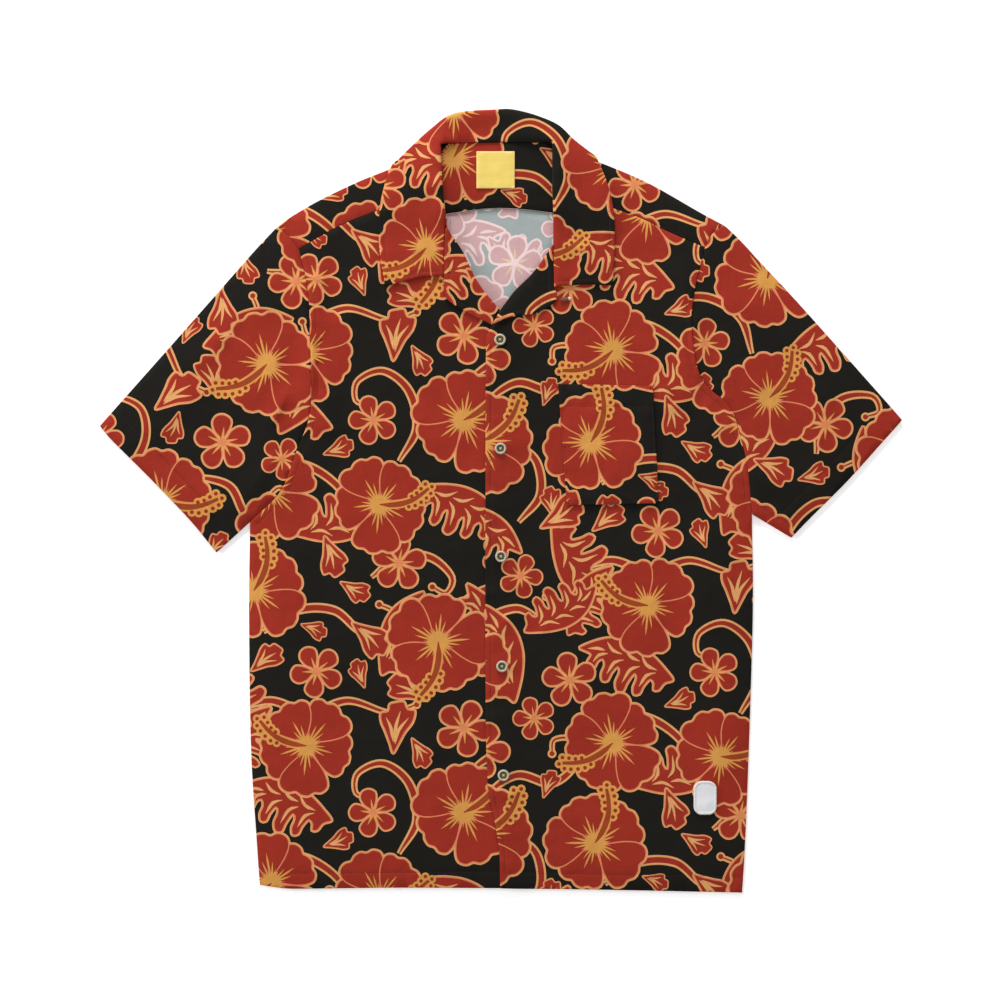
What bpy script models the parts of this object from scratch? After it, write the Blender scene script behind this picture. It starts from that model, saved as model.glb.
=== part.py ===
"""Hawaiian shirt with a camp collar, buttoned and laid flat on its back.

Right and left are the wearer's, so the right front and sleeve lie at -X. +Y runs from the hem to the
collar and +Z points up from the surface that the shirt lies on. Sizes here are in millimetres, and
add_solid() turns them into metres.

Every piece is cut from one flat net of triangles, which all the outlines below share, and is then laid
on the pieces under it. Pieces that lie on each other have the same points, so they keep an even gap.
"""

import math

import bpy
import numpy as np
from mathutils import Vector, geometry

# Cloth
CLOTH = 1.2  # wall of one ply
COLLAR_CLOTH = 1.7  # two plies and an interlining
LABEL_CLOTH = 1.0
GAP = 0.3  # between pieces, at seams and between layers
LAYER = CLOTH + GAP
DRAPE = 14.0  # length over which a ply comes down beside what it lies on

# Net
BODY_STEP = 21.0
FOLD_STEP = 11.0
EDGE_STEP = 15.0
FINE_STEP = 8.0
CORNER_POINTS = 4  # along each round corner of a trim
NEAR = 0.42  # a net point under this share of its step from an outline is left out
CLOSE_FOLD = 1.25  # fold height over which the net is closer
CURVE_PARTS = 12  # straight parts of a smooth curve between two of its points
ON_LINE = 0.02  # the middle of an edge that lies on a curve is this near to it
SAME_POINT = 1e-6
LEAST_AREA = 1e-6

# Air between the upper and the lower plies
LOFT = 0.9
LOFT_EDGE = 34.0  # from the outline, over which the loft grows
COLLAR_ROLL = 4.6  # added to the wall along the line where the collar turns over
COLLAR_ROLL_WIDTH = 15.0
LAPEL_ROLL = 1.8
LAPEL_ROLL_WIDTH = 12.0
FOLD_ROUND = 0.3  # share of the wall by which a fold's skin is set in, so that the fold is round
SHARPEST = 0.55  # the shortest mean of two edge normals, which limits how far a corner is set in

# Buttons and trims
BUTTON_RADIUS = 5.9
BUTTON_HEIGHT = 2.6
BUTTON_SIDES = 24
# Points of the button's section from the middle of its underside to its top, as shares of its
# radius and height.
BUTTON_SECTION = [
    (0.0, 0.0), (0.72, 0.0), (0.95, 0.28), (1.0, 0.62), (0.90, 1.0), (0.74, 0.92), (0.58, 0.62), (0.0, 0.66),
]
LOOP_WIDTH = 4.8
LOOP_HEIGHT = 2.2

# Outlines that pieces share. A row is a point (x, y) that the smooth curve passes through.
HEM_RIGHT = (-246, -392)
HEM_LEFT = (246, -400)
V_POINT = (-1, 194)
BREAK = (-9, 179)
ARM_SEAM_RIGHT = (-206, 256)
ARM_SEAM_LEFT = (208, 258)
SHOULDER_RIGHT = (-228, 279)
SHOULDER_LEFT = (227, 281)
UNDERARM_RIGHT = (-256, -22)
UNDERARM_LEFT = (256, -14)
CUFF_TOP_RIGHT = (-409, 76)
CUFF_TOP_LEFT = (409, 82)
CUFF_UNDER_RIGHT = (-290, -53)
CUFF_UNDER_LEFT = (296, -38)
NECK_RIGHT = (-61, 363)
NECK_LEFT = (52, 365)
YOKE_NECK_RIGHT = (-59, 317)
YOKE_NECK_LEFT = (52, 317)
GORGE_RIGHT = (-56, 291)
GORGE_LEFT = (53, 261)
NOTCH_RIGHT = (-58, 229)
NOTCH_LEFT = (54, 218)
LINING_RIGHT = (-123, 281)
LINING_LEFT = (121, 282)
LINING_NECK_RIGHT = (-54, 364)
LINING_NECK_LEFT = (46, 365)
KINK_RIGHT = (-111, 343)
KINK_LEFT = (97, 351)
HEM_PLACKET = (-1, -395.5)
HEM_UNDERLAP = (15, -396)
UNDERLAP_TOP = (13, 178)

CURVES = {
    "side_right": [HEM_RIGHT, (-249, -350), (-255, -254), (-257, -120), UNDERARM_RIGHT],
    "side_left": [HEM_LEFT, (249, -350), (253, -250), (257, -110), UNDERARM_LEFT],
    "hem_right": [HEM_RIGHT, (-226, -395), (-205, -396), (-103, -395), HEM_PLACKET],
    "hem_overlap": [HEM_PLACKET, HEM_UNDERLAP],
    "hem_left": [HEM_UNDERLAP, (101, -397), HEM_LEFT],
    "armhole_right": [
        UNDERARM_RIGHT, (-225, 10), (-208, 52), (-194, 95), (-195, 171), (-197, 215), ARM_SEAM_RIGHT,
    ],
    "armhole_left": [
        UNDERARM_LEFT, (252, 30), (244, 66), (233, 96), (206, 122), (196, 160), (196, 205), ARM_SEAM_LEFT,
    ],
    "cap_right": [ARM_SEAM_RIGHT, (-214, 267), SHOULDER_RIGHT],
    "cap_left": [ARM_SEAM_LEFT, (215, 271), SHOULDER_LEFT],
    "sleeve_top_right": [SHOULDER_RIGHT, (-248, 258), (-271, 232), (-330, 165), CUFF_TOP_RIGHT],
    "sleeve_top_left": [SHOULDER_LEFT, (244, 265), (264, 243), (305, 199), (387, 107), CUFF_TOP_LEFT],
    "cuff_right": [CUFF_TOP_RIGHT, (-397, 62), (-355, 20), (-316, -21), CUFF_UNDER_RIGHT],
    "cuff_left": [CUFF_TOP_LEFT, (390, 61), (353, 20), (313, -20), CUFF_UNDER_LEFT],
    "sleeve_under_right": [CUFF_UNDER_RIGHT, UNDERARM_RIGHT],
    "sleeve_under_left": [CUFF_UNDER_LEFT, UNDERARM_LEFT],
    "shoulder_right": [SHOULDER_RIGHT, (-215, 289), (-184, 307), (-144, 326), (-112, 339), NECK_RIGHT],
    "shoulder_left": [SHOULDER_LEFT, (203, 294), (152, 323), (111, 341), (95, 347), NECK_LEFT],
    "yoke_seam_right": [ARM_SEAM_RIGHT, (-176, 274), (-138, 291), YOKE_NECK_RIGHT],
    "yoke_seam_left": [ARM_SEAM_LEFT, (171, 274), (132, 292), YOKE_NECK_LEFT],
    "back_seam_right": [ARM_SEAM_RIGHT, (-165, 270), LINING_RIGHT],
    "back_seam": [LINING_RIGHT, (-56, 292), (-2, 298), (54, 293), LINING_LEFT],
    "back_seam_left": [LINING_LEFT, (165, 271), ARM_SEAM_LEFT],
    "neck_end_right": [NECK_RIGHT, LINING_NECK_RIGHT],
    "neck_seam": [LINING_NECK_RIGHT, (-2, 365), LINING_NECK_LEFT],
    "neck_end_left": [LINING_NECK_LEFT, NECK_LEFT],
    "lining_edge_right": [LINING_NECK_RIGHT, LINING_RIGHT],
    "lining_edge_left": [LINING_NECK_LEFT, LINING_LEFT],
    "neck_upper_right": [NECK_RIGHT, (-60, 336), YOKE_NECK_RIGHT],
    "neck_upper_left": [NECK_LEFT, (52, 336), YOKE_NECK_LEFT],
    "neck_lower_right": [YOKE_NECK_RIGHT, GORGE_RIGHT],
    "neck_lower_left": [YOKE_NECK_LEFT, (53, 292), GORGE_LEFT],
    "lapel_roll_right": [GORGE_RIGHT, (-54, 277), (-39, 254), (-23, 222), V_POINT],
    "lapel_roll_left": [GORGE_LEFT, (33, 233), (14, 214), V_POINT],
    "lapel_break": [V_POINT, BREAK],
    "underlap_roll": [V_POINT, UNDERLAP_TOP],
    "gorge_right": [GORGE_RIGHT, (-58, 260), NOTCH_RIGHT],
    "gorge_left": [GORGE_LEFT, NOTCH_LEFT],
    "lapel_edge_right": [NOTCH_RIGHT, (-57, 208), (-44, 197), (-24, 186), BREAK],
    "lapel_edge_left": [NOTCH_LEFT, (57, 204), (36, 191), (16, 188), (2, 184), BREAK],
    "placket": [BREAK, (-14, 168), (-15.5, 150), (-16, 0), (-15, -260), (-6, -330), (-2, -358), HEM_PLACKET],
    "underlap": [UNDERLAP_TOP, (15, 150), HEM_UNDERLAP],
    "leaf_edge_right": [NOTCH_RIGHT, (-80, 228), (-99, 223), (-118, 218)],
    "leaf_edge_left": [NOTCH_LEFT, (86, 220), (114, 219)],
    "leaf_outer_right": [(-118, 218), (-124, 255), (-124, 295), (-118, 325), KINK_RIGHT],
    "leaf_outer_left": [(114, 219), (116, 255), (115, 294), (108, 325), KINK_LEFT],
    "collar_roll": [
        KINK_RIGHT, (-106, 347), (-94, 359), (-72, 379), (-48, 395), (-5, 399), (12, 399), (36, 393),
        (59, 383), (75, 368), KINK_LEFT,
    ],
    "fall_edge": [KINK_RIGHT, (-90, 324), (-50, 316), (-2, 313), (45, 317), (78, 327), KINK_LEFT],
    "pocket": [(58, 119), (155, 117), (161, -3), (67, -5), (58, 119)],
}
SMALL_CURVES = (
    "lapel", "gorge", "leaf", "collar", "neck", "underlap_roll", "cap", "shoulder", "fall",
)
STRAIGHT_CURVES = ("pocket", "hem_overlap", "lapel_break", "gorge_left", "underlap_roll")

# The curves that go round each piece, in order, whichever way each one runs.
OUTLINES = {
    "back": ["hem_right", "hem_overlap", "hem_left", "side_left", "armhole_left", "back_seam_left",
             "back_seam", "back_seam_right", "armhole_right", "side_right"],
    "front_right": ["hem_right", "hem_overlap", "underlap", "underlap_roll", "lapel_roll_right",
                    "neck_lower_right", "yoke_seam_right", "armhole_right", "side_right"],
    "front_left": ["hem_overlap", "hem_left", "side_left", "armhole_left", "yoke_seam_left",
                   "neck_lower_left", "lapel_roll_left", "lapel_break", "placket"],
    "yoke_back": ["back_seam_right", "back_seam", "back_seam_left", "cap_left", "shoulder_left",
                  "neck_end_left", "neck_seam", "neck_end_right", "shoulder_right", "cap_right"],
    "yoke_lining": ["back_seam", "lining_edge_left", "neck_seam", "lining_edge_right"],
    "yoke_strip_right": ["yoke_seam_right", "neck_upper_right", "shoulder_right", "cap_right"],
    "yoke_strip_left": ["yoke_seam_left", "neck_upper_left", "shoulder_left", "cap_left"],
    "sleeve_right": ["armhole_right", "cap_right", "sleeve_top_right", "cuff_right", "sleeve_under_right"],
    "sleeve_left": ["armhole_left", "cap_left", "sleeve_top_left", "cuff_left", "sleeve_under_left"],
    "facing_right": ["lapel_roll_right", "lapel_break", "lapel_edge_right", "gorge_right"],
    "facing_left": ["lapel_roll_left", "lapel_break", "lapel_edge_left", "gorge_left"],
    "collar_top": ["leaf_edge_right", "leaf_outer_right", "collar_roll", "leaf_outer_left",
                   "leaf_edge_left", "gorge_left", "neck_lower_left", "neck_upper_left", "neck_end_left",
                   "neck_seam", "neck_end_right", "neck_upper_right", "neck_lower_right", "gorge_right"],
    "collar_fall": ["collar_roll", "fall_edge"],
    "pocket": ["pocket"],
    "neck_label": ["label"],
    "hem_patch": ["patch"],
    "button_loop": ["loop"],
}
# The line where the collar turns over, from one gorge up round the neck to the other.
ROLL_LINE = [
    GORGE_RIGHT, (-60, 336), (-61, 366), (-57, 381), (-42, 392), (-5, 399), (12, 397), (31, 382),
    (50, 367), (52, 336), (53, 292),
]

# Soft ridges in the upper plies, from (x0, y0) to (x1, y1).
CREASE_COLUMNS = ("x0", "y0", "x1", "y1", "width", "height")
CREASES = [
    (-186, 262, -186, 78, 10, 2.8),
    (-186, 78, -204, 20, 12, 1.7),
    (-228, 108, -240, 20, 11, 2.2),
    (-240, 215, -262, 120, 13, 1.8),
    (-268, 190, -352, 78, 15, 1.5),
    (-250, 60, -300, 0, 14, 1.4),
    (187, 240, 186, 118, 10, 2.8),
    (190, 110, 226, 78, 11, 1.8),
    (236, 200, 262, 118, 12, 1.9),
    (268, 196, 348, 92, 15, 1.5),
    (250, 70, 306, 8, 14, 1.5),
    (-150, 200, -128, 20, 22, 1.1),
    (-214, -60, -196, -330, 24, 1.0),
    (-96, 60, -84, -240, 26, 0.9),
    (118, 84, 128, -200, 26, 0.9),
    (214, -40, 204, -310, 24, 1.0),
    (60, -120, 70, -360, 22, 0.8),
    (-44, -60, -52, -330, 20, 0.7),
]

BUTTONS = [(-1, 164), (-0.5, 53), (0, -57), (1, -169), (2.5, -280)]
LABEL_CORNERS = [(-25, 318), (14, 318.5), (14, 356), (-25, 355.5)]
PATCH_CENTRE = (208, -303)
PATCH_SIZE = (23, 34)
PATCH_CORNER = 8
LOOP_ENDS = [(61.2, 204.8), (71.0, 206.0)]

SMOOTH_BELOW = math.radians(40)
COLOURS = {
    "face": (0.38, 0.03, 0.02),
    "label": (0.86, 0.50, 0.06),
    "patch": (0.80, 0.79, 0.77),
    "button": (0.40, 0.36, 0.28),
}


def clear_scene():
    for obj in list(bpy.data.objects):
        bpy.data.objects.remove(obj, do_unlink=True)


def smooth_step(value):
    value = np.clip(value, 0.0, 1.0)
    return value * value * (3.0 - 2.0 * value)


def resampled(points, step):
    """The same line with points about one step apart, which keeps its ends."""
    points = np.array(points, float)
    along = np.concatenate([[0.0], np.cumsum(np.linalg.norm(np.diff(points, axis=0), axis=1))])
    count = max(1, round(along[-1] / step))
    places = np.linspace(0.0, along[-1], count + 1)
    return np.stack([np.interp(places, along, points[:, k]) for k in (0, 1)], axis=1)


def smooth_line(points, step):
    """A Catmull-Rom curve through the points, sampled one step apart."""
    points = np.array(points, float)
    ends = (2 * points[0] - points[1], 2 * points[-1] - points[-2])
    padded = np.vstack([ends[0], points, ends[1]])
    dense = []
    for before, start, end, after in zip(padded, padded[1:], padded[2:], padded[3:]):
        for t in np.linspace(0.0, 1.0, CURVE_PARTS, endpoint=False):
            dense.append(
                0.5 * (2 * start + (end - before) * t
                       + (2 * before - 5 * start + 4 * end - after) * t**2
                       + (3 * start - before - 3 * end + after) * t**3)
            )
    dense.append(points[-1])
    return resampled(dense, step)


def make_lines():
    lines = {}
    for name, points in CURVES.items():
        step = FINE_STEP if name.startswith(SMALL_CURVES) else EDGE_STEP
        if name in STRAIGHT_CURVES:
            parts = [resampled(pair, step) for pair in zip(points, points[1:])]
            lines[name] = np.vstack([parts[0]] + [part[1:] for part in parts[1:]])
        else:
            lines[name] = smooth_line(points, step)
    lines["label"] = closed(resampled(closed(np.array(LABEL_CORNERS)), FINE_STEP))
    lines["patch"] = closed(round_box(PATCH_CENTRE, PATCH_SIZE, PATCH_CORNER))
    lines["loop"] = closed(capsule(LOOP_ENDS, LOOP_WIDTH / 2))
    return lines


def round_box(centre, size, radius):
    """A rectangle with round corners, as one ring of points."""
    ring = []
    for turn, (sx, sy) in enumerate([(1, 1), (-1, 1), (-1, -1), (1, -1)]):
        middle = (centre[0] + sx * (size[0] / 2 - radius), centre[1] + sy * (size[1] / 2 - radius))
        for k in range(CORNER_POINTS):
            angle = math.pi / 2 * (turn + k / (CORNER_POINTS - 1))
            ring.append((middle[0] + radius * math.cos(angle), middle[1] + radius * math.sin(angle)))
    return np.array(ring)


def capsule(ends, radius):
    """The outline of a bar with round ends."""
    (ax, ay), (bx, by) = ends
    heading = math.atan2(by - ay, bx - ax)
    ring = []
    for x, y, start in ((bx, by, heading - math.pi / 2), (ax, ay, heading + math.pi / 2)):
        for k in range(CORNER_POINTS):
            angle = start + math.pi * k / (CORNER_POINTS - 1)
            ring.append((x + radius * math.cos(angle), y + radius * math.sin(angle)))
    return np.array(ring)


def outline_points(names, lines):
    """The points of a closed outline, joined from its curves."""
    parts = [lines[name] for name in names]
    ring = parts[0]
    if len(parts) > 1 and not any(meets(ring[-1], end) for end in (parts[1][0], parts[1][-1])):
        ring = ring[::-1]
    for part in parts[1:]:
        if not meets(part[0], ring[-1]):
            part = part[::-1]
        ring = np.vstack([ring, part[1:]])
    return ring[:-1]


def meets(a, b):
    return np.linalg.norm(a - b) < SAME_POINT


def cross(a, b):
    return a[..., 0] * b[..., 1] - a[..., 1] * b[..., 0]


def inside(points, ring):
    x, y = points[:, 0][:, None], points[:, 1][:, None]
    ax, ay = ring[:, 0][None], ring[:, 1][None]
    bx, by = np.roll(ring[:, 0], -1)[None], np.roll(ring[:, 1], -1)[None]
    crosses = (ay > y) != (by > y)
    at = ax + (y - ay) * (bx - ax) / np.where(crosses, by - ay, 1.0)
    return (np.sum(crosses & (x < at), axis=1) % 2) == 1


def distance_to_line(points, line):
    """Distance of each point from an open line."""
    a, b = line[:-1][None], line[1:][None]
    p = points[:, None]
    span = b - a
    t = np.sum((p - a) * span, axis=2) / np.maximum(np.sum(span * span, axis=2), 1e-9)
    nearest = a + np.clip(t, 0.0, 1.0)[..., None] * span
    return np.min(np.linalg.norm(p - nearest, axis=2), axis=1)


def closed(ring):
    return np.vstack([ring, ring[:1]])


def crease_height(points):
    total = np.zeros(len(points))
    for row in CREASES:
        crease = dict(zip(CREASE_COLUMNS, row))
        ends = np.array([(crease["x0"], crease["y0"]), (crease["x1"], crease["y1"])], float)
        span = ends[1] - ends[0]
        along = np.clip((points - ends[0]) @ span / (span @ span), 0.0, 1.0)
        off = np.linalg.norm(points - ends[0] - along[:, None] * span, axis=1)
        total += crease["height"] * np.exp(-(off / crease["width"]) ** 2)
    return total


def lattice(step, low, high):
    """Points of a triangular lattice in a box."""
    rows = np.arange(low[1], high[1], step * math.sqrt(3) / 2)
    found = []
    for k, y in enumerate(rows):
        xs = np.arange(low[0] + (k % 2) * step / 2, high[0], step)
        found.append(np.stack([xs, np.full(len(xs), y)], axis=1))
    return np.vstack(found)


def anticlockwise(points, faces):
    """The faces that have an area, turned where needed so that all run anticlockwise."""
    corners = points[faces]
    turn = cross(corners[:, 1] - corners[:, 0], corners[:, 2] - corners[:, 0])
    faces = np.where(turn[:, None] < 0, faces[:, ::-1], faces)
    return faces[np.abs(turn) > LEAST_AREA]


class Net:
    """The flat triangles that every piece is cut from."""

    def __init__(self, lines, rings):
        self.lines = lines
        self.rings = rings
        points, edges = [], []
        for line in lines.values():
            first = len(points)
            points.extend(line)
            edges.extend((first + k, first + k + 1) for k in range(len(line) - 1))
        points.extend(self.filling(np.array(points)))
        out = geometry.delaunay_2d_cdt([Vector(point) for point in points], edges, [], 0, SAME_POINT)
        self.points = np.array([tuple(point) for point in out[0]])
        self.faces = anticlockwise(self.points, np.array([tuple(face) for face in out[2]]))
        self.centres = self.points[self.faces].mean(axis=1)

    def filling(self, line_points):
        """Lattice points between the curves: closest round the neck, then on folds, then elsewhere."""
        low, high = line_points.min(axis=0), line_points.max(axis=0)
        found = []
        for step, kind in ((BODY_STEP, "plain"), (FOLD_STEP, "fold"), (FINE_STEP, "neck")):
            grid = lattice(step, low, high)
            grid = grid[self.kinds(grid) == kind]
            away = np.min([distance_to_line(grid, line) for line in self.lines.values()], axis=0)
            found.append(grid[away > NEAR * step])
        return np.vstack(found)

    def kinds(self, grid):
        kinds = np.where(crease_height(grid) > CLOSE_FOLD, "fold", "plain")
        for name in ("collar_top", "facing_right", "facing_left"):
            kinds[inside(grid, self.rings[name])] = "neck"
        return kinds

    def cut(self, name):
        return self.faces[inside(self.centres, self.rings[name])]

    def highest(self, centre, radius, heights):
        """The highest place of a layer under a disc."""
        angles = np.linspace(0.0, 2 * math.pi, BUTTON_SIDES, endpoint=False)
        rim = np.array(centre) + radius * np.stack([np.cos(angles), np.sin(angles)], axis=1)
        within = np.linalg.norm(self.points - np.array(centre), axis=1) < radius
        found = list(heights[within])
        a, b, c = (self.points[self.faces[:, k]] for k in range(3))
        for spot in rim:
            turns = [cross(b - spot, c - spot), cross(c - spot, a - spot), cross(a - spot, b - spot)]
            shares = np.stack(turns) / cross(b - a, c - a)
            k = int(np.argmax(np.min(shares, axis=0)))
            found.append(float(shares[:, k] @ heights[self.faces[k]]))
        return max(found)

    def cover(self, name, reach=DRAPE):
        """1 on the piece and less beside it, where what lies on it comes down."""
        ring = self.rings[name]
        away = distance_to_line(self.points, closed(ring))
        away[inside(self.points, ring) | (away < ON_LINE)] = 0.0
        return smooth_step(1.0 - away / reach)


def boundary_edges(faces):
    """Directed edges with no face on their right."""
    edges = {edge: True for a, b, c in faces.tolist() for edge in ((a, b), (b, c), (c, a))}
    return [edge for edge in edges if (edge[1], edge[0]) not in edges]


def inward(points, edges):
    """For each boundary point, a step of length 1 off both of its edges, into the piece."""
    normals = {}
    for a, b in edges:
        along = points[b] - points[a]
        normal = np.array([-along[1], along[0]]) / np.linalg.norm(along)
        normals.setdefault(a, []).append(normal)
        normals.setdefault(b, []).append(normal)
    steps = {}
    for v, pair in normals.items():
        total = np.sum(pair, axis=0) / len(pair)
        length = max(np.linalg.norm(total), SHARPEST)
        steps[v] = total / length**2
    return steps


class Ply:
    """One layer of cloth: the net's triangles in some outlines, from a height up through a wall."""

    def __init__(self, net, names, low, wall, flat=False):
        faces = np.vstack([net.cut(name) for name in names])
        self.low = low
        self.high = low + wall
        self.rim = boundary_edges(faces)
        self.steps = inward(net.points, self.rim)
        self.faces = coarse_faces(net.points, self.rim) if flat else faces

    def set_in(self, v, folded, outside, trim):
        """How far a point of the rim is moved into the piece."""
        if v not in self.steps:
            return np.zeros(2)
        if not folded:
            return self.steps[v] * trim
        wall = min(CLOTH, self.high[v] - self.low[v])
        return self.steps[v] * wall * (FOLD_ROUND if outside else 1.0)


def coarse_faces(points, rim):
    """Triangles that fill the rim and have no other points, for a ply that lies flat."""
    used = sorted({v for edge in rim for v in edge})
    place = {v: k for k, v in enumerate(used)}
    edges = [(place[a], place[b]) for a, b in rim]
    out = geometry.delaunay_2d_cdt([Vector(points[v]) for v in used], edges, [], 1, SAME_POINT)
    numbers = np.array([used[sources[0]] for sources in out[3]])
    return anticlockwise(points, numbers[np.array([tuple(face) for face in out[2]])])


def add_solid(name, points, faces, colour, smooth=False):
    mesh = bpy.data.meshes.new(name)
    mesh.from_pydata([tuple(0.001 * p for p in point) for point in points], [], faces)
    mesh.update()
    if smooth:
        mesh.shade_smooth()
        mesh.set_sharp_from_angle(angle=SMOOTH_BELOW)
    obj = bpy.data.objects.new(name, mesh)
    obj.data.materials.append(material(colour))
    bpy.context.scene.collection.objects.link(obj)
    return obj


def material(colour):
    found = bpy.data.materials.get(colour)
    if found:
        return found
    made = bpy.data.materials.new(colour)
    made.use_nodes = True
    shader = made.node_tree.nodes["Principled BSDF"]
    shader.inputs["Base Color"].default_value = (*COLOURS[colour], 1.0)
    shader.inputs["Roughness"].default_value = 0.35 if colour == "button" else 0.85
    shader.inputs["Metallic"].default_value = 0.0
    return made


class Solid:
    """Gathers the points and faces of one closed piece of cloth."""

    def __init__(self, net):
        self.net = net
        self.points = []
        self.faces = []

    def point(self, xy, z):
        self.points.append((xy[0], xy[1], z))
        return len(self.points) - 1

    def side(self, ply, upper, outside, fold_points, trim):
        """Adds the upper or lower side of a ply, and returns the number of each net point on it."""
        heights = ply.high if upper else ply.low
        numbers = {}
        for v in sorted(set(ply.faces.ravel().tolist())):
            xy = self.net.points[v] + ply.set_in(v, v in fold_points, outside, trim)
            numbers[v] = self.point(xy, heights[v])
        for a, b, c in ply.faces.tolist():
            face = (numbers[a], numbers[b], numbers[c])
            self.faces.append(face if upper else face[::-1])
        return numbers

    def rim_walls(self, edges, bottom, top):
        for a, b in edges:
            self.faces.append((bottom[a], bottom[b], top[b]))
            self.faces.append((bottom[a], top[b], top[a]))


def on_curves(net, edge, names):
    middle = net.points[list(edge)].mean(axis=0)[None]
    return any(distance_to_line(middle, net.lines[name])[0] < ON_LINE for name in names)


def sew(name, net, lower, upper=None, folds=(), trim=GAP / 2, colour="face"):
    """Makes one closed piece from a ply, or from two that a fold joins along the named curves."""
    solid = Solid(net)
    fold_edges = {edge for edge in lower.rim if on_curves(net, edge, folds)}
    fold_points = {v for edge in fold_edges for v in edge}
    sides = []
    for ply in (lower, upper) if upper else (lower,):
        bottom = solid.side(ply, False, ply is lower, fold_points, trim)
        top = solid.side(ply, True, ply is upper, fold_points, trim)
        solid.rim_walls([edge for edge in ply.rim if edge not in fold_edges], bottom, top)
        sides += [bottom, top]
    if fold_edges:
        add_fold(solid, lower, upper, fold_edges, *sides)
    return add_solid(name, solid.points, solid.faces, colour)


def add_fold(solid, lower, upper, fold_edges, skin_low, wall_low, wall_up, skin_up):
    """The turned edge between two plies: a round skin outside and a plain wall inside."""
    bulge = {}
    for v in sorted({v for edge in fold_edges for v in edge}):
        bulge[v] = solid.point(solid.net.points[v], (lower.low[v] + upper.high[v]) / 2)
    solid.rim_walls(fold_edges, skin_low, bulge)
    solid.rim_walls(fold_edges, bulge, skin_up)
    solid.rim_walls([edge[::-1] for edge in fold_edges], wall_low, wall_up)
    starts = {a for a, _ in fold_edges}
    ends = {b for _, b in fold_edges}
    for v in sorted(starts ^ ends):
        ring = [skin_low[v], bulge[v], skin_up[v], wall_up[v], wall_low[v]]
        solid.faces.append(ring if v in starts else ring[::-1])


class Stack:
    """Heights of every layer at each net point."""

    BOTTOM = ("back", "yoke_back", "sleeve_right", "sleeve_left")
    FREE_EDGES = (
        "side_right", "side_left", "hem_right", "hem_overlap", "hem_left", "sleeve_top_right",
        "sleeve_top_left", "cuff_right", "cuff_left", "sleeve_under_right", "sleeve_under_left",
        "shoulder_right", "shoulder_left",
    )

    def __init__(self, net):
        self.net = net
        fall = (COLLAR_CLOTH + GAP) * net.cover("collar_fall")
        lining = LAYER * net.cover("yoke_lining")
        self.yoke_low = fall
        self.lining_low = fall + LAYER
        self.label_low = self.lining_low + LAYER
        self.upper = fall + LAYER * self.cover_of(*self.BOTTOM) + lining + self.air()
        self.front_left = self.upper + LAYER * net.cover("front_right")
        self.on_front = self.front_left + LAYER
        under_collar = self.cover_of("yoke_strip_right", "yoke_strip_left", "front_right", "front_left")
        self.collar = self.upper + LAYER * under_collar
        roll = distance_to_line(net.points, smooth_line(ROLL_LINE, FINE_STEP))
        self.collar_wall = COLLAR_CLOTH + COLLAR_ROLL * np.exp(-(roll / COLLAR_ROLL_WIDTH) ** 2)

    def cover_of(self, *names):
        return np.max([self.net.cover(name) for name in names], axis=0)

    def air(self):
        """Height of the upper plies over the lower ones, which is nothing at the edges."""
        points = self.net.points
        away = np.min([distance_to_line(points, self.net.lines[name]) for name in self.FREE_EDGES], axis=0)
        within = np.any([inside(points, self.net.rings[name]) for name in self.BOTTOM], axis=0)
        return np.where(within, smooth_step(away / LOFT_EDGE), 0.0) * (LOFT + crease_height(points))

    def lapel_wall(self, side):
        away = distance_to_line(self.net.points, self.net.lines[f"lapel_roll_{side}"])
        return CLOTH + LAPEL_ROLL * np.exp(-(away / LAPEL_ROLL_WIDTH) ** 2)


def button(number, place, seat):
    """A turned button with a raised rim and a dished middle."""
    section = [(BUTTON_RADIUS * r, seat + BUTTON_HEIGHT * z) for r, z in BUTTON_SECTION]
    points = [(*place, section[0][1]), (*place, section[-1][1])]
    rings = []
    for radius, height in section[1:-1]:
        rings.append(len(points))
        for k in range(BUTTON_SIDES):
            angle = 2 * math.pi * k / BUTTON_SIDES
            points.append((place[0] + radius * math.cos(angle), place[1] + radius * math.sin(angle), height))
    faces = []
    for k in range(BUTTON_SIDES):
        after = (k + 1) % BUTTON_SIDES
        faces.append((0, rings[0] + after, rings[0] + k))
        for low, high in zip(rings, rings[1:]):
            faces.append((low + k, low + after, high + after, high + k))
        faces.append((1, rings[-1] + k, rings[-1] + after))
    add_solid(f"button_{number}", points, faces, "button", smooth=True)


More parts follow.
